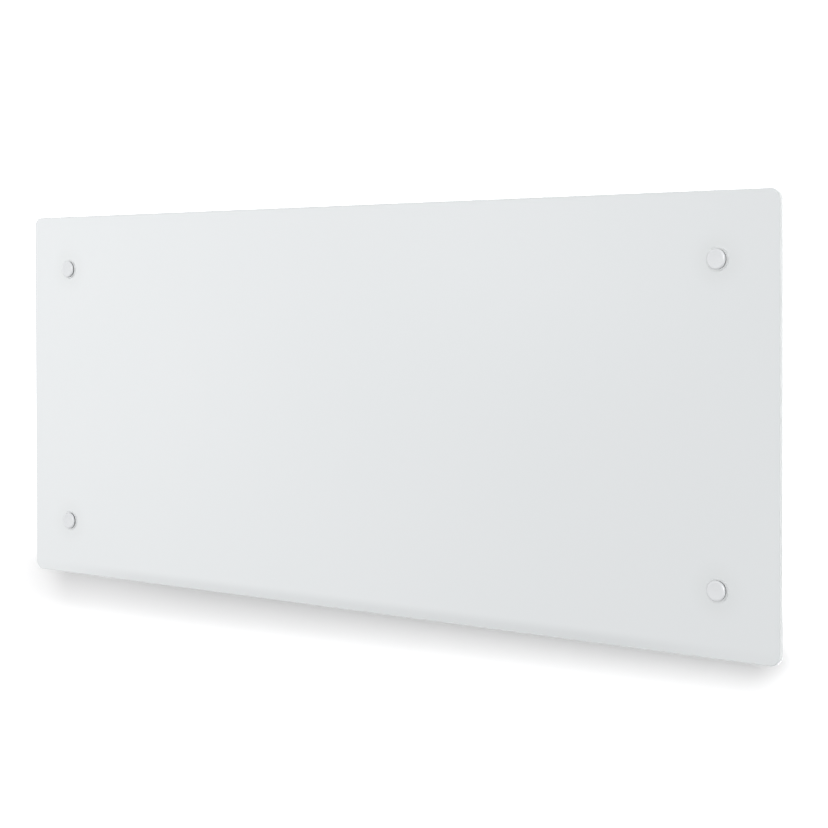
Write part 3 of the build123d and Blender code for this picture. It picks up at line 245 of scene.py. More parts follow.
@dataclass
class Effects:
    """The node groups that more than one finish uses, each built once."""

    built: dict[str, bpy.types.NodeTree] = field(default_factory=dict)
    cloud_share: float = 0.03
    cloud_reach: Span = (0.3, 0.7)
    crystal_warp: float = 0.35 / 150
    crystal_share: float = 0.3
    pore_reach: Span = (0.0, 0.3)
    upward: Span = (0.55, 1.0)
    dust_scale: float = 60.0
    dust_reach: Span = (0.35, 0.75)

    def frame(self, name: str, inputs: dict[str, object], outputs: tuple[str, ...]) -> tuple[Graph, dict, dict]:
        """Starts a node group.

        Args:
            name: the group's name.
            inputs: each input's name and its default, a number or a vector.
            outputs: the name of each output, all numbers.

        Returns:
            The graph, the inputs' sockets by name and the outputs' sockets by name.
        """
        tree = bpy.data.node_groups.new(name, "ShaderNodeTree")
        for key, value in inputs.items():
            kind = "NodeSocketFloat" if isinstance(value, float) else "NodeSocketVector"
            tree.interface.new_socket(key, in_out="INPUT", socket_type=kind).default_value = value
        for key in outputs:
            tree.interface.new_socket(key, in_out="OUTPUT", socket_type="NodeSocketFloat")
        entry, leave = tree.nodes.new("NodeGroupInput"), tree.nodes.new("NodeGroupOutput")
        self.built[name] = tree
        return Graph(tree), dict(entry.outputs.items()), dict(leave.inputs.items())

    def skin(self, kind: Skin) -> bpy.types.NodeTree:
        """Gives the group for one kind of skin.

        Args:
            kind: the skin.

        Returns:
            The group, with a Height for its relief and a slow Shade, both from 0 to 1.
        """
        name = f"skin_{kind.name.lower()}"
        if name in self.built:
            return self.built[name]
        graph, given, out = self.frame(name, {"Vector": (0.0, 0.0, 0.0), "Fineness": 900.0}, ("Height", "Shade"))
        place, fineness = given["Vector"], given["Fineness"]
        cloud = graph.noise(place, graph.maths("MULTIPLY", fineness, self.cloud_share), 3.0)
        shade = graph.spread(cloud, self.cloud_reach)
        if kind is Skin.SPANGLED:
            warp = graph.node("ShaderNodeTexNoise", {"Vector": place, "Scale": fineness}).outputs["Color"]
            inputs = {0: warp, "Scale": self.crystal_warp}
            bent = graph.node("ShaderNodeVectorMath", inputs, operation="SCALE").outputs["Vector"]
            inputs = {"Vector": graph.vector("ADD", place, bent), "Scale": fineness}
            cells = graph.node("ShaderNodeTexVoronoi", inputs).outputs
            tone = graph.node("ShaderNodeSeparateColor", {"Color": cells["Color"]}).outputs[0]
            height = cells["Distance"]
            shade = graph.mix(self.crystal_share, tone, shade)
        elif kind is Skin.BRAIDED:
            threads = []
            for lay in ((1.0, 1.0, 1.0), (1.0, -1.0, -1.0)):
                inputs = {"Vector": graph.vector("MULTIPLY", place, lay), "Scale": fineness}
                wave = graph.node("ShaderNodeTexWave", inputs, bands_direction="DIAGONAL")
                threads.append(wave.outputs["Fac"])
            height = graph.maths("MAXIMUM", *threads)
        elif kind is Skin.CAST:
            pores = graph.node("ShaderNodeTexVoronoi", {"Vector": place, "Scale": fineness}).outputs["Distance"]
            height = graph.spread(pores, self.pore_reach)
        else:
            height = graph.noise(place, fineness, {Skin.MOULDED: 4.0, Skin.COATED: 1.0}.get(kind, 2.0))
        graph.tree.links.new(height, out["Height"])
        graph.tree.links.new(shade, out["Shade"])
        return self.built[name]

    def dust(self) -> bpy.types.NodeTree:
        """Gives the group for the fine dust on faces that look up.

        Returns:
            The group, with a Mask from 0 to 1.
        """
        name = "settled_dust"
        if name in self.built:
            return self.built[name]
        inputs = {"Vector": (0.0, 0.0, 0.0), "Upward": 0.0, "Amount": 0.3}
        graph, given, out = self.frame(name, inputs, ("Mask",))
        lying = graph.spread(given["Upward"], self.upward)
        thick = graph.spread(graph.noise(given["Vector"], self.dust_scale, 5.0), self.dust_reach, (0.2, 1.0))
        mask = graph.maths("MULTIPLY", graph.maths("MULTIPLY", lying, thick), given["Amount"])
        graph.tree.links.new(mask, out["Mask"])
        return self.built[name]


EFFECTS = Effects()


@dataclass(frozen=True)
class Finish:
    """One finish: its colours, how shiny it is and how its skin varies."""

    slot: str
    skin: Skin
    colour: Colour
    shade: Colour
    roughness: Span
    fineness: float = 1500.0
    relief: float = 0.02 * MM
    stretch: Triple = (1.0, 1.0, 1.0)
    metallic: float = 0.0
    coat: float = 0.0
    dust: float = 0.0

    def start(self) -> Surface:
        """Makes the empty material, with what is the same all over it.

        Returns:
            The material's graph.
        """
        surface = Surface(self.slot)
        surface.shader.inputs["Metallic"].default_value = self.metallic
        surface.shader.inputs["Coat Weight"].default_value = self.coat
        return surface

    def colour_of(self, surface: Surface, shade: Socket) -> Socket:
        """Gives the colour over the surface, which a kind of finish may add to."""
        return surface.blend(shade, self.colour, self.shade)

    def build(self) -> Material:
        """Builds the material from the finish's values.

        Returns:
            The material.
        """
        surface = self.start()
        drawn = surface.node("ShaderNodeMapping", {"Vector": surface.place, "Scale": self.stretch}).outputs[0]
        skin = surface.group(EFFECTS.skin(self.skin), Vector=drawn, Fineness=self.fineness).outputs
        colour = self.colour_of(surface, skin["Shade"])
        if self.dust:
            upward = surface.facing("Z")
            dust = surface.group(EFFECTS.dust(), Vector=surface.place, Upward=upward, Amount=self.dust)
            colour = surface.blend(dust.outputs["Mask"], colour, DUST)
        uneven = surface.mix(0.4, skin["Shade"], skin["Height"])
        return self.close(surface, colour, surface.spread(uneven, (0.2, 0.8), self.roughness), skin["Height"])

    def close(self, surface: Surface, colour: Socket, roughness: Socket, height: Socket) -> Material:
        """Joins what varies over the surface to its shader.

        Args:
            surface: the material's graph.
            colour: its colour.
            roughness: its roughness.
            height: its relief, from 0 to 1.

        Returns:
            The material.
        """
        bump = surface.node("ShaderNodeBump", {"Height": height, "Distance": self.relief, "Strength": 1.0})
        for name, value in (("Base Color", colour), ("Roughness", roughness), ("Normal", bump.outputs[0])):
            surface.tree.links.new(value, surface.shader.inputs[name])
        return surface.material


@dataclass(frozen=True)
class PaintedGlass(Finish):
    """Clear glass with white enamel on its back, greener along its polished edges, with painted shade round its fixings
    and along its lower and upper edges.
    """

    edge: Colour = (0.70, 0.74, 0.74)
    edge_turn: Span = (0.3, 0.5)
    arris: Colour = (0.73, 0.76, 0.765)
    arris_turn: Span = (0.85, 0.95)
    # Painted shadow round each fixing: the enamel takes this darker colour by up to the depth share, fading out across
    # the reach.
    fixing_shade: Colour = (0.73, 0.75, 0.755)
    fixing_shade_reach: Span = (8.0 * MM, 26.0 * MM)
    fixing_shade_depth: float = 0.55
    # Painted shade: darker bands just inside the lower and upper edges, weaker towards the ends.
    band_shade: Colour = (0.68, 0.70, 0.71)
    lower_band_shade: Span = (-158.0 * MM, -167.0 * MM)
    upper_band_shade: Span = (167.5 * MM, 169.5 * MM)
    band_shade_end: Span = (0.24, 0.385)
    band_shade_depths: Triple = (0.9, 0.45, 0.2)

    def colour_of(self, surface: Surface, shade: Socket) -> Socket:
        """Paints a soft shadow on the enamel round each fixing and bands of shade along the lower and upper edges, and
        tints the edges.

        Args:
            surface: the material's graph.
            shade: the slow change over the enamel.

        Returns:
            The colour.
        """
        base = super().colour_of(surface, shade)
        # Painted shadow round the fixings.
        fixing_shadow = surface.spread(
            surface.off_fixing(surface.place), self.fixing_shade_reach, (self.fixing_shade_depth, 0.0), smooth=True
        )
        base = surface.blend(fixing_shadow, base, self.fixing_shade)
        # Painted shade along the lower and upper edges.
        base = surface.blend(self.painted_edge_bands(surface), base, self.band_shade)
        square = surface.maths("ABSOLUTE", surface.facing("Y"))
        for turn, colour in ((self.arris_turn, self.arris), (self.edge_turn, self.edge)):
            base = surface.blend(surface.spread(square, turn, (1.0, 0.0)), base, colour)
        return base

    def painted_edge_bands(self, surface: Surface) -> Socket:
        """Masks the bands of painted shade along the lower and upper edges.

        Args:
            surface: the material's graph.

        Returns:
            The mask, from 0 to 1, weaker towards the ends.
        """
        lower, upper, end = self.band_shade_depths
        across, up = surface.part(surface.place, "X"), surface.part(surface.place, "Z")
        inward = surface.spread(surface.maths("ABSOLUTE", across), self.band_shade_end, (1.0, end), smooth=True)
        low = surface.spread(up, self.lower_band_shade, (0.0, lower), smooth=True)
        high = surface.spread(up, self.upper_band_shade, (0.0, upper), smooth=True)
        return surface.maths("MULTIPLY", inward, surface.maths("MAXIMUM", low, high))


@dataclass(frozen=True)
class CapMetal(Finish):
    """Turned aluminium with rings on its face, and painted shade on the neck and stem behind it."""

    # Painted shade: all behind the cap's back is near black, standing in for the shadow in the seam where the cap meets
    # its bush.
    seal: Colour = (0.03, 0.03, 0.032)
    seam_shade_from: Span = (-84.85 * MM, -84.80 * MM)
    ring: float = 0.34 * MM
    ring_share: float = 0.5

    def build(self) -> Material:
        """Builds the material, with its rings about each cap's own centre.

        Returns:
            The material.
        """
        surface = self.start()
        turns = surface.maths("MULTIPLY", surface.off_fixing(surface.place), math.tau / self.ring)
        wave = surface.maths("MULTIPLY", surface.maths("SINE", turns), self.ring_share)
        cloud = surface.noise(surface.place, self.fineness)
        # Painted shade on the neck and stem.
        seam_shaded = surface.spread(surface.part(surface.place, "Y"), self.seam_shade_from)
        colour = surface.blend(seam_shaded, self.colour_of(surface, cloud), self.seal)
        roughness = surface.spread(cloud, EFFECTS.cloud_reach, self.roughness)
        return self.close(surface, colour, roughness, surface.maths("ADD", wave, cloud))


@dataclass(frozen=True)
class ClearPlastic(Finish):
    """Translucent moulded plastic that lets some light through."""

    transmission: float = 0.6
    ior: float = 1.46

    def start(self) -> Surface:
        """Makes the empty material and lets light through it.

        Returns:
            The material's graph.
        """
        surface = super().start()
        surface.shader.inputs["Transmission Weight"].default_value = self.transmission
        surface.shader.inputs["IOR"].default_value = self.ior
        return surface


@dataclass(frozen=True)
class BoardFinish(Finish):
    """Solder mask with tracks under it and bare pads."""

    copper: Colour = (0.05, 0.30, 0.14)
    track_scale: float = 260.0
    track_width: Span = (0.04, 0.09)
    pad: Colour = (0.72, 0.70, 0.62)
    pad_scale: float = 330.0
    pad_scatter: float = 0.15
    pad_size: Span = (0.16, 0.2)

    def colour_of(self, surface: Surface, shade: Socket) -> Socket:
        """Adds the tracks and the pads.

        Args:
            surface: the material's graph.
            shade: the slow change over the mask.

        Returns:
            The colour.
        """
        inputs = {"Vector": surface.place, "Scale": self.track_scale, "Randomness": 0.0}
        settings = {"distance": "MANHATTAN", "feature": "DISTANCE_TO_EDGE"}
        tracks = surface.node("ShaderNodeTexVoronoi", inputs, **settings).outputs["Distance"]
        inputs = {"Vector": surface.place, "Scale": self.pad_scale, "Randomness": self.pad_scatter}
        pads = surface.node("ShaderNodeTexVoronoi", inputs).outputs["Distance"]
        base = super().colour_of(surface, shade)
        for away, reach, colour in ((tracks, self.track_width, self.copper), (pads, self.pad_size, self.pad)):
            base = surface.blend(surface.spread(away, reach, (1.0, 0.0)), base, colour)
        return base


@dataclass(frozen=True)
class StripedWire(Finish):
    """Insulation in two colours, with a stripe along it."""

    stripe: Colour = (0.80, 0.62, 0.04)
    stripe_side: Triple = (0.35, -0.6, 0.72)
    stripe_edge: Span = (0.1, 0.2)

    def colour_of(self, surface: Surface, shade: Socket) -> Socket:
        """Adds the stripe on the side that looks up or to the room.

        Args:
            surface: the material's graph.
            shade: the slow change over the insulation.

        Returns:
            The colour.
        """
        normal = surface.node("ShaderNodeTexCoord").outputs["Normal"]
        turned = surface.vector("DOT_PRODUCT", normal, self.stripe_side, output="Value")
        return surface.blend(surface.spread(turned, self.stripe_edge), super().colour_of(surface, shade), self.stripe)


@dataclass(frozen=True)
class Glow(Finish):
    """A lit mark, a little uneven over its length."""

    strength: float = 1.0

    def close(self, surface: Surface, colour: Socket, roughness: Socket, height: Socket) -> Material:
        """Joins the surface to its shader and lights it in its own colour.

        Args:
            surface: the material's graph.
            colour: its colour, which is also that of its light.
            roughness: its roughness.
            height: its relief, from 0 to 1.

        Returns:
            The material.
        """
        surface.tree.links.new(colour, surface.shader.inputs["Emission Color"])
        surface.shader.inputs["Emission Strength"].default_value = self.strength
        return super().close(surface, colour, roughness, height)


GLASS = PaintedGlass(
    "white_glass", Skin.COATED, (0.775, 0.795, 0.806), (0.767, 0.790, 0.801), (0.16, 0.22), 220.0, 0.002 * MM, coat=1.0
)
CAP = CapMetal(
    "cap_metal", Skin.TURNED, (0.815, 0.83, 0.845), (0.785, 0.80, 0.815), (0.26, 0.36), 1800.0, 0.007 * MM,
    metallic=0.08,
)
BUSH = ClearPlastic(
    "clear_bush", Skin.MOULDED, (0.86, 0.88, 0.885), (0.83, 0.85, 0.855), (0.25, 0.4), 900.0, transmission=0.15
)
SEAL = Finish("soft_seal", Skin.MOULDED, (0.62, 0.63, 0.63), (0.56, 0.57, 0.57), (0.7, 0.85), 1400.0, 0.05 * MM)
ZINC = Finish(
    "zinc_steel", Skin.TURNED, (0.66, 0.67, 0.68), (0.58, 0.59, 0.61), (0.28, 0.42), 1600.0, 0.006 * MM, metallic=1.0
)
SHEET = Finish(
    "white_sheet", Skin.COATED, (0.80, 0.81, 0.81), (0.775, 0.785, 0.785), (0.38, 0.5), 750.0, 0.035 * MM, dust=0.25
)
PROFILE = Finish(
    "element_aluminium", Skin.DRAWN, (0.74, 0.75, 0.76), (0.64, 0.65, 0.67), (0.32, 0.48),
    stretch=(0.012, 1.0, 1.0), metallic=1.0, dust=0.3,
)
SHEATH = Finish(
    "sheath_steel", Skin.DRAWN, (0.46, 0.44, 0.42), (0.36, 0.29, 0.22), (0.3, 0.45), 900.0, 0.01 * MM,
    (0.05, 1.0, 1.0), 1.0,
)
CERAMIC = Finish("ceramic", Skin.CAST, (0.86, 0.84, 0.79), (0.80, 0.77, 0.71), (0.65, 0.85), 1300.0, 0.05 * MM)
BLACK = Finish(
    "black_plastic", Skin.MOULDED, (0.028, 0.028, 0.031), (0.045, 0.045, 0.048), (0.38, 0.55), relief=0.04 * MM
)
WHITE = Finish(
    "white_plastic", Skin.MOULDED, (0.80, 0.81, 0.81), (0.77, 0.78, 0.78), (0.42, 0.55), relief=0.03 * MM, dust=0.2
)
LENS = Finish("smoked_lens", Skin.COATED, (0.010, 0.010, 0.013), (0.016, 0.016, 0.02), (0.06, 0.12), 300.0, 0.001 * MM)
BOARD = BoardFinish("board", Skin.COATED, (0.02, 0.17, 0.07), (0.025, 0.2, 0.085), (0.25, 0.4), 900.0)
TINNED = Finish(
    "shield_metal", Skin.DRAWN, (0.70, 0.70, 0.68), (0.62, 0.62, 0.6), (0.25, 0.4),
    relief=0.01 * MM, stretch=(0.1, 1.0, 1.0), metallic=1.0,
)
TAPE = Finish(
    "transformer_yellow", Skin.DRAWN, (0.72, 0.54, 0.08), (0.62, 0.45, 0.06), (0.25, 0.4), 900.0, 0.05 * MM,
    (0.1, 1.0, 1.0),
)
GLAND = Finish("gland_plastic", Skin.MOULDED, (0.62, 0.63, 0.63), (0.57, 0.58, 0.58), (0.4, 0.55), relief=0.03 * MM)
CREAM = Finish("cream_plastic", Skin.MOULDED, (0.78, 0.75, 0.66), (0.73, 0.70, 0.6), (0.4, 0.55), relief=0.03 * MM)
BRASS = Finish(
    "brass_tag", Skin.DRAWN, (0.78, 0.6, 0.3), (0.66, 0.48, 0.22), (0.25, 0.4),
    relief=0.01 * MM, stretch=(1.0, 1.0, 0.1), metallic=1.0,
)
EPOXY = Finish(
    "sensor_epoxy", Skin.COATED, (0.04, 0.04, 0.045), (0.06, 0.06, 0.06), (0.12, 0.25), 700.0, 0.05 * MM, coat=0.4
)
BUTTON = Finish("button_plastic", Skin.MOULDED, (0.83, 0.84, 0.84), (0.80, 0.81, 0.81), (0.35, 0.48), 1700.0)
EARTH_WIRE = StripedWire("earth_insulation", Skin.MOULDED, (0.06, 0.28, 0.05), (0.05, 0.24, 0.05), (0.35, 0.5))
LIVE_WIRE = Finish("live_insulation", Skin.MOULDED, (0.20, 0.075, 0.03), (0.16, 0.06, 0.025), (0.35, 0.5))
NEUTRAL_WIRE = Finish("neutral_insulation", Skin.MOULDED, (0.03, 0.13, 0.48), (0.025, 0.11, 0.4), (0.35, 0.5))
HEAT_WIRE = Finish("heat_insulation", Skin.BRAIDED, (0.78, 0.75, 0.68), (0.7, 0.66, 0.58), (0.6, 0.8), 420.0, 0.15 * MM)
SENSOR_WIRE = Finish("sensor_insulation", Skin.MOULDED, (0.05, 0.05, 0.055), (0.07, 0.07, 0.075), (0.35, 0.5))
GALVANISED = Finish(
    "bracket_zinc", Skin.SPANGLED, (0.64, 0.655, 0.67), (0.52, 0.535, 0.55), (0.3, 0.5), 150.0, 0.01 * MM, metallic=1.0
)
SPRING = Finish(
    "spring_steel", Skin.DRAWN, (0.46, 0.46, 0.48), (0.34, 0.34, 0.37), (0.2, 0.35),
    relief=0.008 * MM, stretch=(1.0, 1.0, 0.06), metallic=1.0,
)
INK = Finish("printed_ink", Skin.COATED, (0.11, 0.115, 0.12), (0.15, 0.155, 0.16), (0.4, 0.55), 2500.0, 0.004 * MM)
SWITCH_INK = Finish("switch_ink", Skin.COATED, (0.78, 0.78, 0.77), (0.70, 0.70, 0.69), (0.4, 0.55), 2500.0, 0.004 * MM)
LIT = Glow(
    "lit_figures", Skin.COATED, (0.80, 0.90, 0.95), (0.72, 0.84, 0.92), (0.3, 0.4), relief=0.002 * MM, strength=1.2
)


def looking(direction: Triple, share: float = 0.95) -> Pick:
    """Picks the faces that look along a direction."""
    return lambda face: face.normal.dot(Vector(direction)) > share


def lying(axis: int, height: float) -> Pick:
    """Picks the edges that lie at one height of an axis, within a micrometre."""
    return lambda edge: all(abs(end.co[axis] - height) < 0.001 * MM for end in edge.verts)


def rising(height: float) -> Pick:
    """Picks the edges that rise by more than a height."""
    return lambda edge: abs(edge.verts[0].co.z - edge.verts[1].co.z) > height


class Bench:
    """Makes new pieces from a primitive and shapes them in edit mode."""

    @staticmethod
    def hold(*pieces: Piece) -> None:
        """Selects only some pieces, and makes the first one active.

        Args:
            *pieces: the pieces, or none to select nothing.
        """
        bpy.ops.object.select_all(action="DESELECT")
        for piece in pieces:
            piece.select_set(True)
        if pieces:
            bpy.context.view_layer.objects.active = pieces[0]

    def settle(self, name: str) -> Piece:
        """Names the piece in hand and puts its place, turn and scale into its mesh.

        Args:
            name: the name that its object and its mesh get.

        Returns:
            The piece.
        """
        made = bpy.context.object
        made.name = made.data.name = name
        self.hold(made)
        bpy.ops.object.transform_apply(location=True, rotation=True, scale=True)
        return made

    def disc(self, name: str, radius: float, depth: float, place: Triple, sides: int) -> Piece:
        """Starts a turned piece.

        Args:
            name: its name.
            radius: its radius.
            depth: its length along its axis, which is y.
            place: its middle.
            sides: how many flats its edge has.

        Returns:
            The piece.
        """
        self.hold()
        bpy.ops.mesh.primitive_cylinder_add(
            vertices=sides, radius=radius, depth=depth, location=place, rotation=(QUARTER, 0.0, 0.0)
        )
        return self.settle(name)

    def block(self, name: str, size: Triple, place: Triple) -> Piece:
        """Starts a square piece.

        Args:
            name: its name.
            size: its width, depth and height.
            place: its middle.

        Returns:
            The piece.
        """
        self.hold()
        bpy.ops.mesh.primitive_cube_add(size=1.0, location=place, scale=size)
        return self.settle(name)

    @contextmanager
    def shaping(self, piece: Piece, kind: str, pick: Pick) -> Iterator[None]:
        """Holds a piece in edit mode with some of it selected.

        Args:
            piece: the piece.
            kind: FACE or EDGE.
            pick: says which faces or edges are selected.

        Returns:
            Nothing: the operators inside act on the selection.
        """
        self.hold(piece)
        bpy.ops.object.mode_set(mode="EDIT")
        bpy.ops.mesh.select_mode(type=kind)
        bpy.ops.mesh.select_all(action="DESELECT")
        mesh = bmesh.from_edit_mesh(piece.data)
        for part in mesh.faces if kind == "FACE" else mesh.edges:
            if pick(part):
                part.select_set(True)
        bmesh.update_edit_mesh(piece.data)
        try:
            yield
        finally:
            bpy.ops.object.mode_set(mode="OBJECT")

    @staticmethod
    def draw_out(step: Triple) -> None:
        """Extrudes the selected faces by a step."""
        bpy.ops.mesh.extrude_region_move(TRANSFORM_OT_translate={"value": step, "orient_type": "GLOBAL"})

    def carve(self, piece: Piece, cutter: Piece) -> None:
        """Cuts one piece's shape out of another and drops the cutter.

        Args:
            piece: the piece that is cut.
            cutter: the shape that is taken out of it.
        """
        self.hold(piece)
        cut = piece.modifiers.new("recess", "BOOLEAN")
        cut.operation, cut.solver, cut.object = "DIFFERENCE", "EXACT", cutter
        bpy.ops.object.modifier_apply(modifier=cut.name)
        bpy.data.objects.remove(cutter)

    def join(self, name: str, pieces: list[Piece]) -> Piece:
        """Joins pieces into one.

        Args:
            name: the name of the one piece.
            pieces: the pieces, which end as parts of it.

        Returns:
            The piece.
        """
        self.hold(*pieces)
        bpy.ops.object.join()
        return self.settle(name)

    @staticmethod
    def repeat(piece: Piece, places: dict[str, Matrix]) -> list[Piece]:
        """Copies a piece to each place, with its own mesh, and drops the first one.

        Args:
            piece: the piece, modelled once.
            places: each copy's name and its place.

        Returns:
            The copies.
        """
        made = []
        for name, place in places.items():
            copy = bpy.data.objects.new(name, piece.data.copy())
            copy.data.name = name
            copy.data.transform(place)
            bpy.context.scene.collection.objects.link(copy)
            made.append(copy)
        bpy.data.objects.remove(piece)
        return made

    @staticmethod
    def seat(node: Piece, start: Triple, along: Triple, up: Triple) -> Matrix:
        """Finds where a mark sits on a node's surface.

        Args:
            node: the node that carries the mark.
            start: a point outside the node.
            along: the direction to look from there.
            up: the way that the top of the mark points.

        Returns:
            The turn and place that put a mark, drawn flat with z outwards, on the surface.
        """
        hit, place, normal, _ = node.ray_cast(Vector(start), Vector(along))
        if not hit:
            raise ValueError(f"no surface of {node.name} from {start}")
        across = Vector(up).cross(normal).normalized()
        over = normal.cross(across)
        return Matrix.Translation(place) @ Matrix((across, over, normal)).transposed().to_4x4()


@dataclass
class SubAssembly:
    """A group of parts that are built and dressed together."""

    finishes: ClassVar[dict[Finish, tuple[str, ...]]] = {}
    smooth_below: ClassVar[float] = math.radians(32.0)

    frame: dict
    materials: dict[Finish, Material]
    bench: Bench = field(default_factory=Bench)

    def material(self, finish: Finish) -> Material:
        """Gives a finish's material, built the first time it is asked for.

        Args:
            finish: the finish.

        Returns:
            The material.
        """
        if finish not in self.materials:
            self.materials[finish] = finish.build()
        return self.materials[finish]

    def dress(self) -> None:
        """Gives each node of the sub-assembly its finish."""
        for finish, names in self.finishes.items():
            for name in names:
                for slot in self.frame["nodes"][name].material_slots:
                    slot.material = self.material(finish)
                log.info("%s dressed as %s", name, finish.slot)

    def build(self) -> None:
        """Adds the sub-assembly's own pieces; some have none."""

    def add(self, piece: Piece, finish: Finish, body: str = "heater", replaces: str = "") -> None:
        """Smooths a new piece, dresses it and lets it ride.

        Args:
            piece: the piece.
            finish: its finish, whose material it takes.
            body: the CAD body that it moves with.
            replaces: the node that it stands for, if any.
        """
        self.bench.hold(piece)
        bpy.ops.object.shade_smooth_by_angle(angle=self.smooth_below)
        piece.data.materials.clear()
        piece.data.materials.append(self.material(finish))
        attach(piece, body)
        finish.slot in {material["slot"] for material in self.frame["record"]["materials"]}
        if replaces:
            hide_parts(replaces)
        log.info("%s made, on %s", piece.name, body)


@dataclass
class GlassFront(SubAssembly):
    """The glass, its caps and what holds them."""

    finishes = {
        GLASS: ("glass_front",),
        CAP: ("glass_caps",),
        BUSH: ("glass_bushes",),
        SEAL: ("glass_gaskets",),
        ZINC: ("glass_spacers", "spacer_screws"),
    }

    cap_radius: float = 7.5 * MM
    cap_height: float = 2.8 * MM
    cap_round: float = 1.15 * MM
    cap_sides: int = 72
    neck_height: float = 1.05 * MM
    neck_setback: float = 0.05 * MM
    dish_margin: float = 1.0 * MM
    dish_slope: float = 0.2 * MM
    dish_depth: float = 0.05 * MM
    stem_radius: float = 3.0 * MM
    stem_round: float = 0.5 * MM

    def cap(self, front: float, back: float) -> Piece:
        """Turns one cap on the glass's middle.

        Args:
            front: the y of its face.
            back: the y of its stem's end.

        Returns:
            A disc with a rounded rim, a shallow dish, a narrower neck under it and a stem; its material paints the neck
            dark as shade.
        """
        deep = self.cap_height - self.neck_height
        cap = self.bench.disc("cap", self.cap_radius, deep, (0.0, front + deep / 2, 0.0), self.cap_sides)
        with self.bench.shaping(cap, "EDGE", lying(1, front)):
            bpy.ops.mesh.bevel(offset=self.cap_round, segments=5)
        with self.bench.shaping(cap, "FACE", looking((0.0, -1.0, 0.0), 0.999)):
            bpy.ops.mesh.inset(thickness=self.dish_margin)
            bpy.ops.mesh.inset(thickness=self.dish_slope, depth=-self.dish_depth)
        with self.bench.shaping(cap, "FACE", looking((0.0, 1.0, 0.0))):
            bpy.ops.mesh.inset(thickness=self.neck_setback)
            self.bench.draw_out((0.0, self.neck_height, 0.0))
            bpy.ops.mesh.inset(thickness=self.cap_radius - self.neck_setback - self.stem_radius)
            self.bench.draw_out((0.0, back - front - self.cap_height, 0.0))
        with self.bench.shaping(cap, "EDGE", lying(1, back)):
            bpy.ops.mesh.bevel(offset=self.stem_round, segments=2)
        return cap

    def build(self) -> None:
        """Adds the four turned caps."""
        low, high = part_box("glass_caps")
        places = {name: Matrix.Translation(middle) for name, middle in CAPS.items()}
        for cap in self.bench.repeat(self.cap(low.y, high.y), places):
            self.add(cap, CAP, replaces="glass_caps")


@dataclass
class Case(SubAssembly):
    """The folded steel case with its grilles."""

    finishes = {
        SHEET: (
            "front_plate", "rear_cover", "left_end_panel", "right_end_panel", "outlet_slats", "inlet_slats",
            "grille_ribs",
        ),
        ZINC: ("case_screws",),
    }

    head_radius: float = 3.6 * MM
    head_height: float = 1.8 * MM
    head_round: float = 1.1 * MM
    head_sides: int = 40
    shank_radius: float = 1.9 * MM
    shank_length: float = 6.0 * MM
    shank_point: float = 0.7 * MM
    recess: Triple = (3.9 * MM, 2.2 * MM, 0.85 * MM)
    recess_taper: float = 0.6
    screw_rows: Triple = (-100.0 * MM, 0.0, 100.0 * MM)
    screw_turn: float = 0.7

    def screw(self) -> Piece:
        """Makes one pan-head screw with a cross recess.

        Returns:
            The screw, its head towards the room and its seat at the origin.
        """
        middle = (0.0, -self.head_height / 2, 0.0)
        screw = self.bench.disc("screw", self.head_radius, self.head_height, middle, self.head_sides)
        with self.bench.shaping(screw, "EDGE", lying(1, -self.head_height)):
            bpy.ops.mesh.bevel(offset=self.head_round, segments=5)
        with self.bench.shaping(screw, "FACE", looking((0.0, 1.0, 0.0))):
            bpy.ops.mesh.inset(thickness=self.head_radius - self.shank_radius)
            self.bench.draw_out((0.0, self.shank_length, 0.0))
        with self.bench.shaping(screw, "EDGE", lying(1, self.shank_length)):
            bpy.ops.mesh.bevel(offset=self.shank_point, segments=1)
        long, deep, wide = self.recess
        for size in ((long, deep, wide), (wide, deep, long)):
            cutter = self.bench.block("recess", size, (0.0, -self.head_height, 0.0))
            with self.bench.shaping(cutter, "FACE", looking((0.0, 1.0, 0.0))):
                bpy.ops.transform.resize(value=(self.recess_taper, 1.0, self.recess_taper))
            self.bench.carve(screw, cutter)
        return screw

    def build(self) -> None:
        """Adds the screws that hold the covers to the end panels, no two turned alike."""
        low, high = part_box("case_screws")
        out = high.x - self.head_radius
        sides = (("front", low.y + self.head_height, 0.0), ("rear", high.y - self.head_height, math.pi))
        places = {}
        for side, seat, facing in sides:
            for column, x in (("left", -out), ("right", out)):
                for row, z in enumerate(self.screw_rows):
                    turn = Matrix.Rotation(self.screw_turn * len(places), 4, "Y")
                    place = Matrix.Translation((x, seat, z)) @ Matrix.Rotation(facing, 4, "Z") @ turn
                    places[f"{side}_{column}_screw_{row + 1}"] = place
        for screw in self.bench.repeat(self.screw(), places):
            self.add(screw, ZINC, replaces="case_screws")


@dataclass
class Element(SubAssembly):
    """The heating element, its supports and its thermal cut-out."""

    finishes = {
        PROFILE: ("heating_profile",),
        SHEATH: ("heating_rod",),
        CERAMIC: ("rod_insulators",),
        GALVANISED: ("left_element_support", "right_element_support", "cutout_bracket"),
        BLACK: ("thermal_cutout",),
    }


class Bar(Enum):
    """The seven bars of a lit figure: across and up in halves of its size, and whether it stands upright."""

    TOP = (0.0, 1.0, False)
    MIDDLE = (0.0, 0.0, False)
    BOTTOM = (0.0, -1.0, False)
    UPPER_LEFT = (-1.0, 0.5, True)
    UPPER_RIGHT = (1.0, 0.5, True)
    LOWER_LEFT = (-1.0, -0.5, True)
    LOWER_RIGHT = (1.0, -0.5, True)


FIGURES = {
    1: (Bar.UPPER_RIGHT, Bar.LOWER_RIGHT),
    2: (Bar.TOP, Bar.UPPER_RIGHT, Bar.MIDDLE, Bar.LOWER_LEFT, Bar.BOTTOM),
}


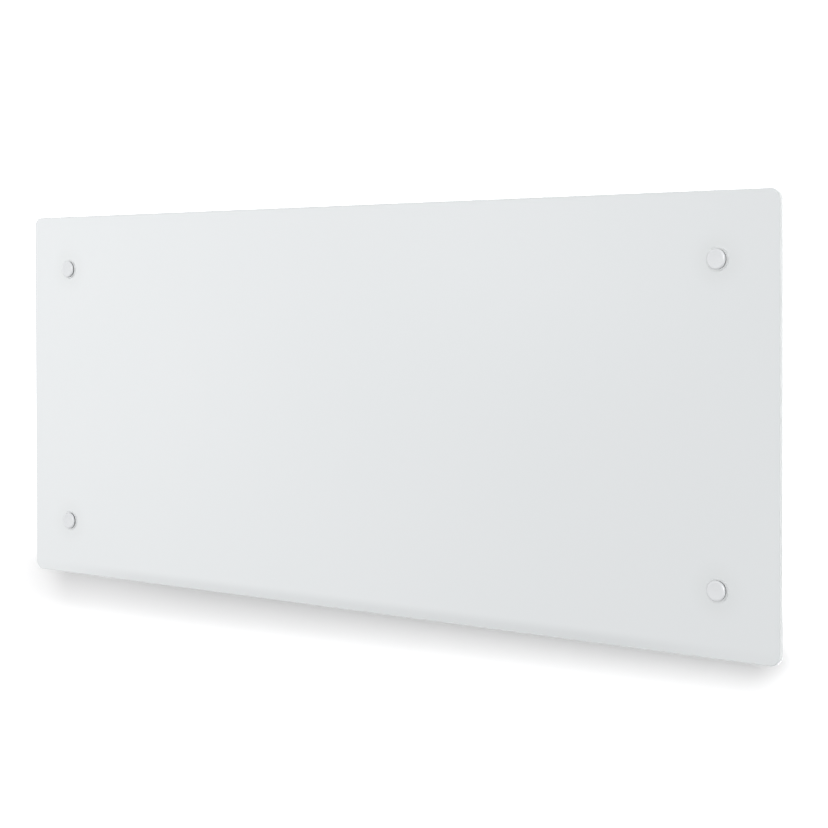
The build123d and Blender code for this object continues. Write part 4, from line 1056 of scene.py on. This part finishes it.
@dataclass
class Mark:
    """Draws one flat mark on the bench, its face towards z."""

    bench: Bench
    length: float = 4.2 * MM
    stroke: float = 0.8 * MM
    thickness: float = 0.06 * MM
    sink: float = 0.02 * MM
    point: float = 0.42
    bar_gap: float = 0.15 * MM
    long_arm: float = 0.85
    short_arm: float = 0.45
    tick_middle: Span = (0.15, 0.3)

    def blank(self, name: str, length: float) -> Piece:
        """Starts a mark from a bar across, sunk a little into what carries it."""
        return self.bench.block(name, (length, self.stroke, self.thickness), (0.0, 0.0, self.thickness / 2 - self.sink))

    def stick(self, name: str, length: float) -> Piece:
        """Draws a bar across with pointed ends.

        Args:
            name: its name.
            length: its length.

        Returns:
            The bar.
        """
        bar = self.blank(name, length)
        with self.bench.shaping(bar, "EDGE", rising(self.thickness / 2)):
            bpy.ops.mesh.bevel(offset=self.point * self.stroke, segments=1)
        return bar

    def cross(self, name: str) -> Piece:
        """Draws a plus by drawing the four sides of a square out.

        Args:
            name: its name.

        Returns:
            The plus.
        """
        plus = self.blank(name, self.stroke)
        with self.bench.shaping(plus, "FACE", lambda face: abs(face.normal.z) < 0.5):
            bpy.ops.mesh.extrude_faces_move(TRANSFORM_OT_shrink_fatten={"value": (self.length - self.stroke) / 2})
        return plus

    def tick(self, name: str) -> Piece:
        """Draws a tick: a square with a long and a short arm, turned by an eighth.

        Args:
            name: its name.

        Returns:
            The tick, about its middle.
        """
        tick = self.blank(name, self.stroke)
        with self.bench.shaping(tick, "FACE", looking((1.0, 0.0, 0.0))):
            self.bench.draw_out((self.long_arm * self.length, 0.0, 0.0))
        side = looking((0.0, 1.0, 0.0))
        with self.bench.shaping(tick, "FACE", lambda face: side(face) and face.calc_center_median().x < self.stroke):
            self.bench.draw_out((0.0, self.short_arm * self.length, 0.0))
        across, up = self.tick_middle
        middle = Matrix.Translation((-across * self.length, -up * self.length, 0.0))
        tick.data.transform(middle @ Matrix.Rotation(QUARTER / 2, 4, "Z"))
        return tick

    def ring(self, name: str, radius: float) -> Piece:
        """Draws a ring by flattening a round one.

        Args:
            name: its name.
            radius: its radius, to the middle of its line.

        Returns:
            The ring.
        """
        self.bench.hold()
        bpy.ops.mesh.primitive_torus_add(
            major_radius=radius, minor_radius=self.stroke / 3, major_segments=40, minor_segments=8
        )
        ring = self.bench.settle(name)
        with self.bench.shaping(ring, "FACE", lambda face: True):
            bpy.ops.transform.resize(value=(1.0, 1.0, self.thickness / self.stroke))
        return ring

    def figure(self, name: str, number: int, size: Span) -> Piece:
        """Draws one figure from its bars.

        Args:
            name: its name.
            number: the figure, 1 or 2.
            size: its width and its height between the middles of its bars.

        Returns:
            The figure, about its middle.
        """
        bars = []
        for bar in FIGURES[number]:
            across, up, upright = bar.value
            length = size[1] / 2 if upright else size[0]
            stick = self.stick(bar.name.lower(), length - self.bar_gap)
            turn = Matrix.Rotation(QUARTER if upright else 0.0, 4, "Z")
            stick.data.transform(Matrix.Translation((across * size[0] / 2, up * size[1] / 2, 0.0)) @ turn)
            bars.append(stick)
        return self.bench.join(name, bars)


@dataclass
class Controls(SubAssembly):
    """The control unit in the top of the case."""

    finishes = {
        WHITE: ("control_housing", "control_fascia"),
        LENS: ("display_lens",),
        BLACK: ("display_module", "push_switches", "relay"),
        BOARD: ("control_board",),
        TINNED: ("wireless_module",),
        TAPE: ("transformer",),
        BUTTON: ("minus_button", "plus_button", "confirm_button"),
    }

    figure_size: Span = (3.8 * MM, 7.4 * MM)
    figure_pitch: float = 6.0 * MM
    first_figure: float = -0.65
    degree_at: float = 1.12
    degree_radius: float = 0.85 * MM
    look_from: float = 0.2

    def put_on(self, mark: Piece, node: str) -> Piece:
        """Lays a mark on the middle of a node's top, read from the room.

        Args:
            mark: the mark.
            node: the node that carries it.

        Returns:
            The mark.
        """
        low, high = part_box(node)
        start = ((low.x + high.x) / 2, (low.y + high.y) / 2, self.look_from)
        mark.data.transform(self.bench.seat(self.frame["nodes"][node], start, (0.0, 0.0, -1.0), (0.0, 1.0, 0.0)))
        return mark

    def readout(self) -> Piece:
        """Draws the room temperature that the display shows.

        Returns:
            Its figures and the degree ring as one piece.
        """
        mark = Mark(self.bench)
        figures = []
        for place, number in enumerate((2, 1)):
            figure = mark.figure(f"figure_{number}", number, self.figure_size)
            across = (place + self.first_figure) * self.figure_pitch
            figure.data.transform(Matrix.Translation((across, 0.0, 0.0)))
            figures.append(figure)
        degree = mark.ring("degree", self.degree_radius)
        up = self.figure_size[1] / 2 - self.degree_radius / 2
        degree.data.transform(Matrix.Translation((self.degree_at * self.figure_pitch, up, 0.0)))
        return self.bench.join("display_figures", [*figures, degree])

    def build(self) -> None:
        """Adds the lit figures and the marks on the buttons."""
        mark = Mark(self.bench)
        self.add(self.put_on(self.readout(), "display_lens"), LIT)
        self.add(self.put_on(mark.stick("minus_mark", mark.length), "minus_button"), INK, "minus_body")
        self.add(self.put_on(mark.cross("plus_mark"), "plus_button"), INK, "plus_body")
        self.add(self.put_on(mark.tick("confirm_mark"), "confirm_button"), INK, "confirm_body")


@dataclass
class Mains(SubAssembly):
    """The switch, the gland, the terminals, the sensor and the wires."""

    finishes = {
        BLACK: ("switch_body", "rocker"),
        GLAND: ("cable_gland", "gland_nut"),
        CREAM: ("terminal_block",),
        BRASS: ("earth_tag", "earth_screw"),
        WHITE: ("sensor_cage",),
        EPOXY: ("room_sensor",),
        EARTH_WIRE: ("earth_wire",),
        LIVE_WIRE: ("live_wire", "switched_wire"),
        NEUTRAL_WIRE: ("neutral_wire",),
        HEAT_WIRE: ("element_wire", "cutout_wire", "link_wire"),
        SENSOR_WIRE: ("sensor_wire",),
    }

    mark_rise: float = 4.6 * MM
    mark_size: float = 2.8 * MM
    mark_stroke: float = 0.6 * MM
    look_from: float = 0.45

    def build(self) -> None:
        """Prints the on and off marks on the two slopes of the rocker."""
        rocker = self.frame["nodes"]["rocker"]
        low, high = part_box("rocker")
        middle = ((low.y + high.y) / 2, (low.z + high.z) / 2)
        mark = Mark(self.bench, stroke=self.mark_stroke)
        on = mark.stick("on_mark", self.mark_size)
        on.data.transform(Matrix.Rotation(QUARTER, 4, "Z"))
        off = mark.ring("off_mark", self.mark_size / 2)
        for piece, rise in ((on, self.mark_rise), (off, -self.mark_rise)):
            start = (self.look_from, middle[0], middle[1] + rise)
            piece.data.transform(self.bench.seat(rocker, start, (-1.0, 0.0, 0.0), (0.0, 0.0, 1.0)))
            self.add(piece, SWITCH_INK, "rocker_body")


@dataclass
class WallBracket(SubAssembly):
    """The wall bracket and what hangs the heater on it."""

    finishes = {
        GALVANISED: (
            "bracket_left_upright", "bracket_right_upright", "bracket_lower_rail", "bracket_upper_rail",
            "hanger_lugs", "latch_tongues",
        ),
        SPRING: ("latch_clips",),
        ZINC: ("clip_rivets", "hanger_pins", "rivets"),
    }


@dataclass
class Lamp:
    """One soft lamp: where it stands, what it faces, its size and its power."""

    name: str
    place: Triple
    target: Triple
    size: Span
    power: float
    mirrored: bool = False
    only: tuple[str, ...] = ()
    skips: tuple[str, ...] = ()
    passes: tuple[str, ...] = ()

    def build(self) -> None:
        """Adds the lamp, which lights all, or only some pieces, or all but some, and shines through some."""
        data = bpy.data.lights.new(self.name, "AREA")
        data.shape = "RECTANGLE"
        data.size, data.size_y = self.size
        data.energy = self.power
        lamp = bpy.data.objects.new(self.name, data)
        bpy.context.scene.collection.objects.link(lamp)
        lamp.location = self.place
        aim = Vector(self.target) - Vector(self.place)
        lamp.rotation_euler = aim.to_track_quat("-Z", "Y").to_euler()
        lamp.visible_camera = False
        lamp.visible_glossy = self.mirrored
        if self.only or self.skips:
            state = "INCLUDE" if self.only else "EXCLUDE"
            lamp.light_linking.receiver_collection = self.linked("lit", self.only or self.skips, state)
        if self.passes:
            lamp.light_linking.blocker_collection = self.linked("passed", self.passes, "EXCLUDE")

    def linked(self, use: str, names: tuple[str, ...], state: str) -> bpy.types.Collection:
        """Gathers the pieces that the lamp treats apart.

        Args:
            use: what the lamp does with them.
            names: their names.
            state: INCLUDE or EXCLUDE.

        Returns:
            The collection.
        """
        made = bpy.data.collections.new(f"{self.name}_{use}")
        for name in names:
            made.objects.link(bpy.data.objects[name])
        for entry in made.collection_objects:
            entry.light_linking.link_state = state
        return made


WALL, FLOOR = "backdrop_wall", "floor"
ORIGIN: Triple = (0.0, 0.0, 0.0)
FILL = ((-0.55, -1.15, 0.25), (-0.35, 0.0, 0.0), (0.5, 0.5))


@dataclass
class Studio:
    """The wall, the floor, the light and the camera."""

    lens: float = 81.71
    sensor: float = 36.0
    place: Triple = (1.0232, -1.2824, 0.0946)
    yaw: float = 38.514
    pitch: float = 0.913
    roll: float = -0.142
    shift: Span = (0.0012, -0.1076)
    floor_height: float = -0.62
    reach: float = 6.0
    ambient: float = 0.5
    room_turn: Span = (-0.85, -0.45)
    room_glow: Span = (1.3, 0.5)
    paper: Colour = (0.93, 0.93, 0.935)
    paper_shade: float = 0.985
    paper_cloud: float = 3.0
    paper_glow: float = 0.9
    mirror_glow: float = 0.35
    shade_glow: float = 0.165
    shade_heights: tuple[float, float, float, float] = (-0.30, -0.21, -0.186, -0.12)
    lamps: tuple[Lamp, ...] = (
        Lamp("key_softbox", (3.57, -4.19, 1.71), ORIGIN, (1.9, 1.75), 160.0, True, skips=(WALL,), passes=(*CAPS,)),
        Lamp("wall_wash", (0.92, -1.36, 0.49), (-0.07, 0.0, -0.2), (0.8, 0.8), 32.0, only=(WALL,)),
        Lamp("left_fill", *FILL, 1.75, skips=(WALL,)),
        Lamp("glass_fill", *FILL, 1.2, skips=(WALL, *CAPS), passes=(*CAPS,)),
        Lamp("rear_softbox", (-1.6, 3.4, 1.9), ORIGIN, (1.6, 1.4), 40.0, skips=(WALL, FLOOR)),
    )

    def world(self) -> None:
        """Lights the scene evenly and shows white to the camera and in reflections."""
        world = bpy.data.worlds.new("studio_air")
        bpy.context.scene.world = world
        world.use_nodes = True
        graph = Graph(world.node_tree)
        path = graph.node("ShaderNodeLightPath").outputs
        sideways = graph.part(graph.node("ShaderNodeTexCoord").outputs["Generated"], "X")
        room = graph.spread(sideways, self.room_turn, self.room_glow, smooth=True)
        strength = graph.mix(path["Is Glossy Ray"], self.ambient, room)
        clear = graph.maths("MAXIMUM", path["Is Camera Ray"], path["Is Transmission Ray"])
        background = world.node_tree.nodes["Background"].inputs
        graph.tree.links.new(graph.mix(clear, strength, 1.0), background["Strength"])
        background["Color"].default_value = (1.0, 1.0, 1.0, 1.0)

    def paper_material(self) -> Material:
        """Makes the backdrop's paper.

        Returns:
            The material: white, keeping the heater's shadow, with painted shade in a band under the heater, and clear
                from behind.
        """
        made = bpy.data.materials.new("backdrop_paper")
        made.use_nodes = True
        tree = made.node_tree
        tree.nodes.remove(tree.nodes["Principled BSDF"])
        graph = Graph(tree)
        place = graph.node("ShaderNodeTexCoord").outputs["Object"]
        warmer = tuple(part * self.paper_shade for part in self.paper)
        colour = graph.blend(graph.noise(place, self.paper_cloud), self.paper, warmer)
        matt = graph.node("ShaderNodeBsdfDiffuse", {"Color": colour})
        height = graph.part(place, "Z")
        # The paper glows less in a band under the heater, between the first and last of shade_heights: painted shade
        # that lets the heater's real shadow show there.
        foot, fade, edge, top = self.shade_heights
        above = graph.spread(height, (edge, top), (self.shade_glow, self.paper_glow), smooth=True)
        below = graph.spread(height, (foot, fade), (self.paper_glow, self.shade_glow), smooth=True)
        path = graph.node("ShaderNodeLightPath").outputs
        mirrored = graph.maths("MULTIPLY", path["Is Glossy Ray"], self.mirror_glow)
        direct = graph.maths("MAXIMUM", path["Is Camera Ray"], path["Is Transmission Ray"])
        shown = graph.maths("MULTIPLY", direct, graph.maths("MAXIMUM", above, below))
        glow = graph.node("ShaderNodeEmission", {"Strength": graph.maths("ADD", shown, mirrored)})
        face = graph.node("ShaderNodeAddShader", {0: matt.outputs[0], 1: glow.outputs[0]})
        clear = graph.node("ShaderNodeBsdfTransparent")
        back = graph.node("ShaderNodeNewGeometry").outputs["Backfacing"]
        passing = graph.maths("MAXIMUM", path["Is Diffuse Ray"], path["Is Shadow Ray"])
        open_to = graph.maths("MAXIMUM", back, passing)
        both = graph.node("ShaderNodeMixShader", {0: open_to, 1: face.outputs[0], 2: clear.outputs[0]})
        tree.links.new(both.outputs[0], tree.nodes["Material Output"].inputs["Surface"])
        return made

    def sheet(self, name: str, corners: list[Triple], material: Material) -> Piece:
        """Adds one flat sheet of the backdrop.

        Args:
            name: its name.
            corners: its corners, counter-clockwise as seen from its lit side.
            material: its material.

        Returns:
            The sheet.
        """
        mesh = bpy.data.meshes.new(name)
        mesh.from_pydata(corners, [], [tuple(range(len(corners)))])
        mesh.materials.append(material)
        piece = bpy.data.objects.new(name, mesh)
        bpy.context.scene.collection.objects.link(piece)
        piece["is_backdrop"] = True
        return piece

    def camera(self) -> None:
        """Sets the camera where the photograph was taken from."""
        yaw, pitch, roll = (math.radians(angle) for angle in (self.yaw, self.pitch, self.roll))
        ahead = Vector((-math.sin(yaw) * math.cos(pitch), math.cos(yaw) * math.cos(pitch), -math.sin(pitch)))
        level = Vector((math.cos(yaw), math.sin(yaw), 0.0))
        over = level.cross(ahead)
        right = level * math.cos(roll) + over * math.sin(roll)
        up = over * math.cos(roll) - level * math.sin(roll)
        data = bpy.data.cameras.new("photographer")
        data.lens, data.sensor_width = self.lens, self.sensor
        data.shift_x, data.shift_y = self.shift
        camera = bpy.data.objects.new("photographer", data)
        bpy.context.scene.collection.objects.link(camera)
        turn = Matrix((right, up, -ahead)).transposed()
        camera.matrix_world = Matrix.Translation(self.place) @ turn.to_4x4()
        bpy.context.scene.camera = camera

    def build(self) -> None:
        """Sets the whole studio up."""
        bpy.context.scene.view_settings.view_transform = "Standard"
        paper = self.paper_material()
        reach, low = self.reach, self.floor_height
        wall = [(-reach, 0.0, low), (reach, 0.0, low), (reach, 0.0, reach), (-reach, 0.0, reach)]
        floor = [(-reach, -reach, low), (reach, -reach, low), (reach, 0.0, low), (-reach, 0.0, low)]
        self.sheet(WALL, wall, paper)
        self.sheet(FLOOR, floor, paper).visible_glossy = False
        self.world()
        for lamp in self.lamps:
            lamp.build()
        self.camera()


def main() -> None:
    """Loads the frame, dresses and adds every piece, and sets up the studio."""
    logging.basicConfig(level=logging.INFO, format="%(message)s")
    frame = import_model()
    cad_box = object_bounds()
    materials: dict[Finish, Material] = {}
    for kind in (GlassFront, Case, Element, Controls, Mains, WallBracket):
        part = kind(frame, materials)
        part.dress()
        part.build()
    Studio().build()
    boxes = {"cad": cad_box, "visual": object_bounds()}
    {name: [list(corner) for corner in box] for name, box in boxes.items()}


if __name__ == "__main__":
    main()
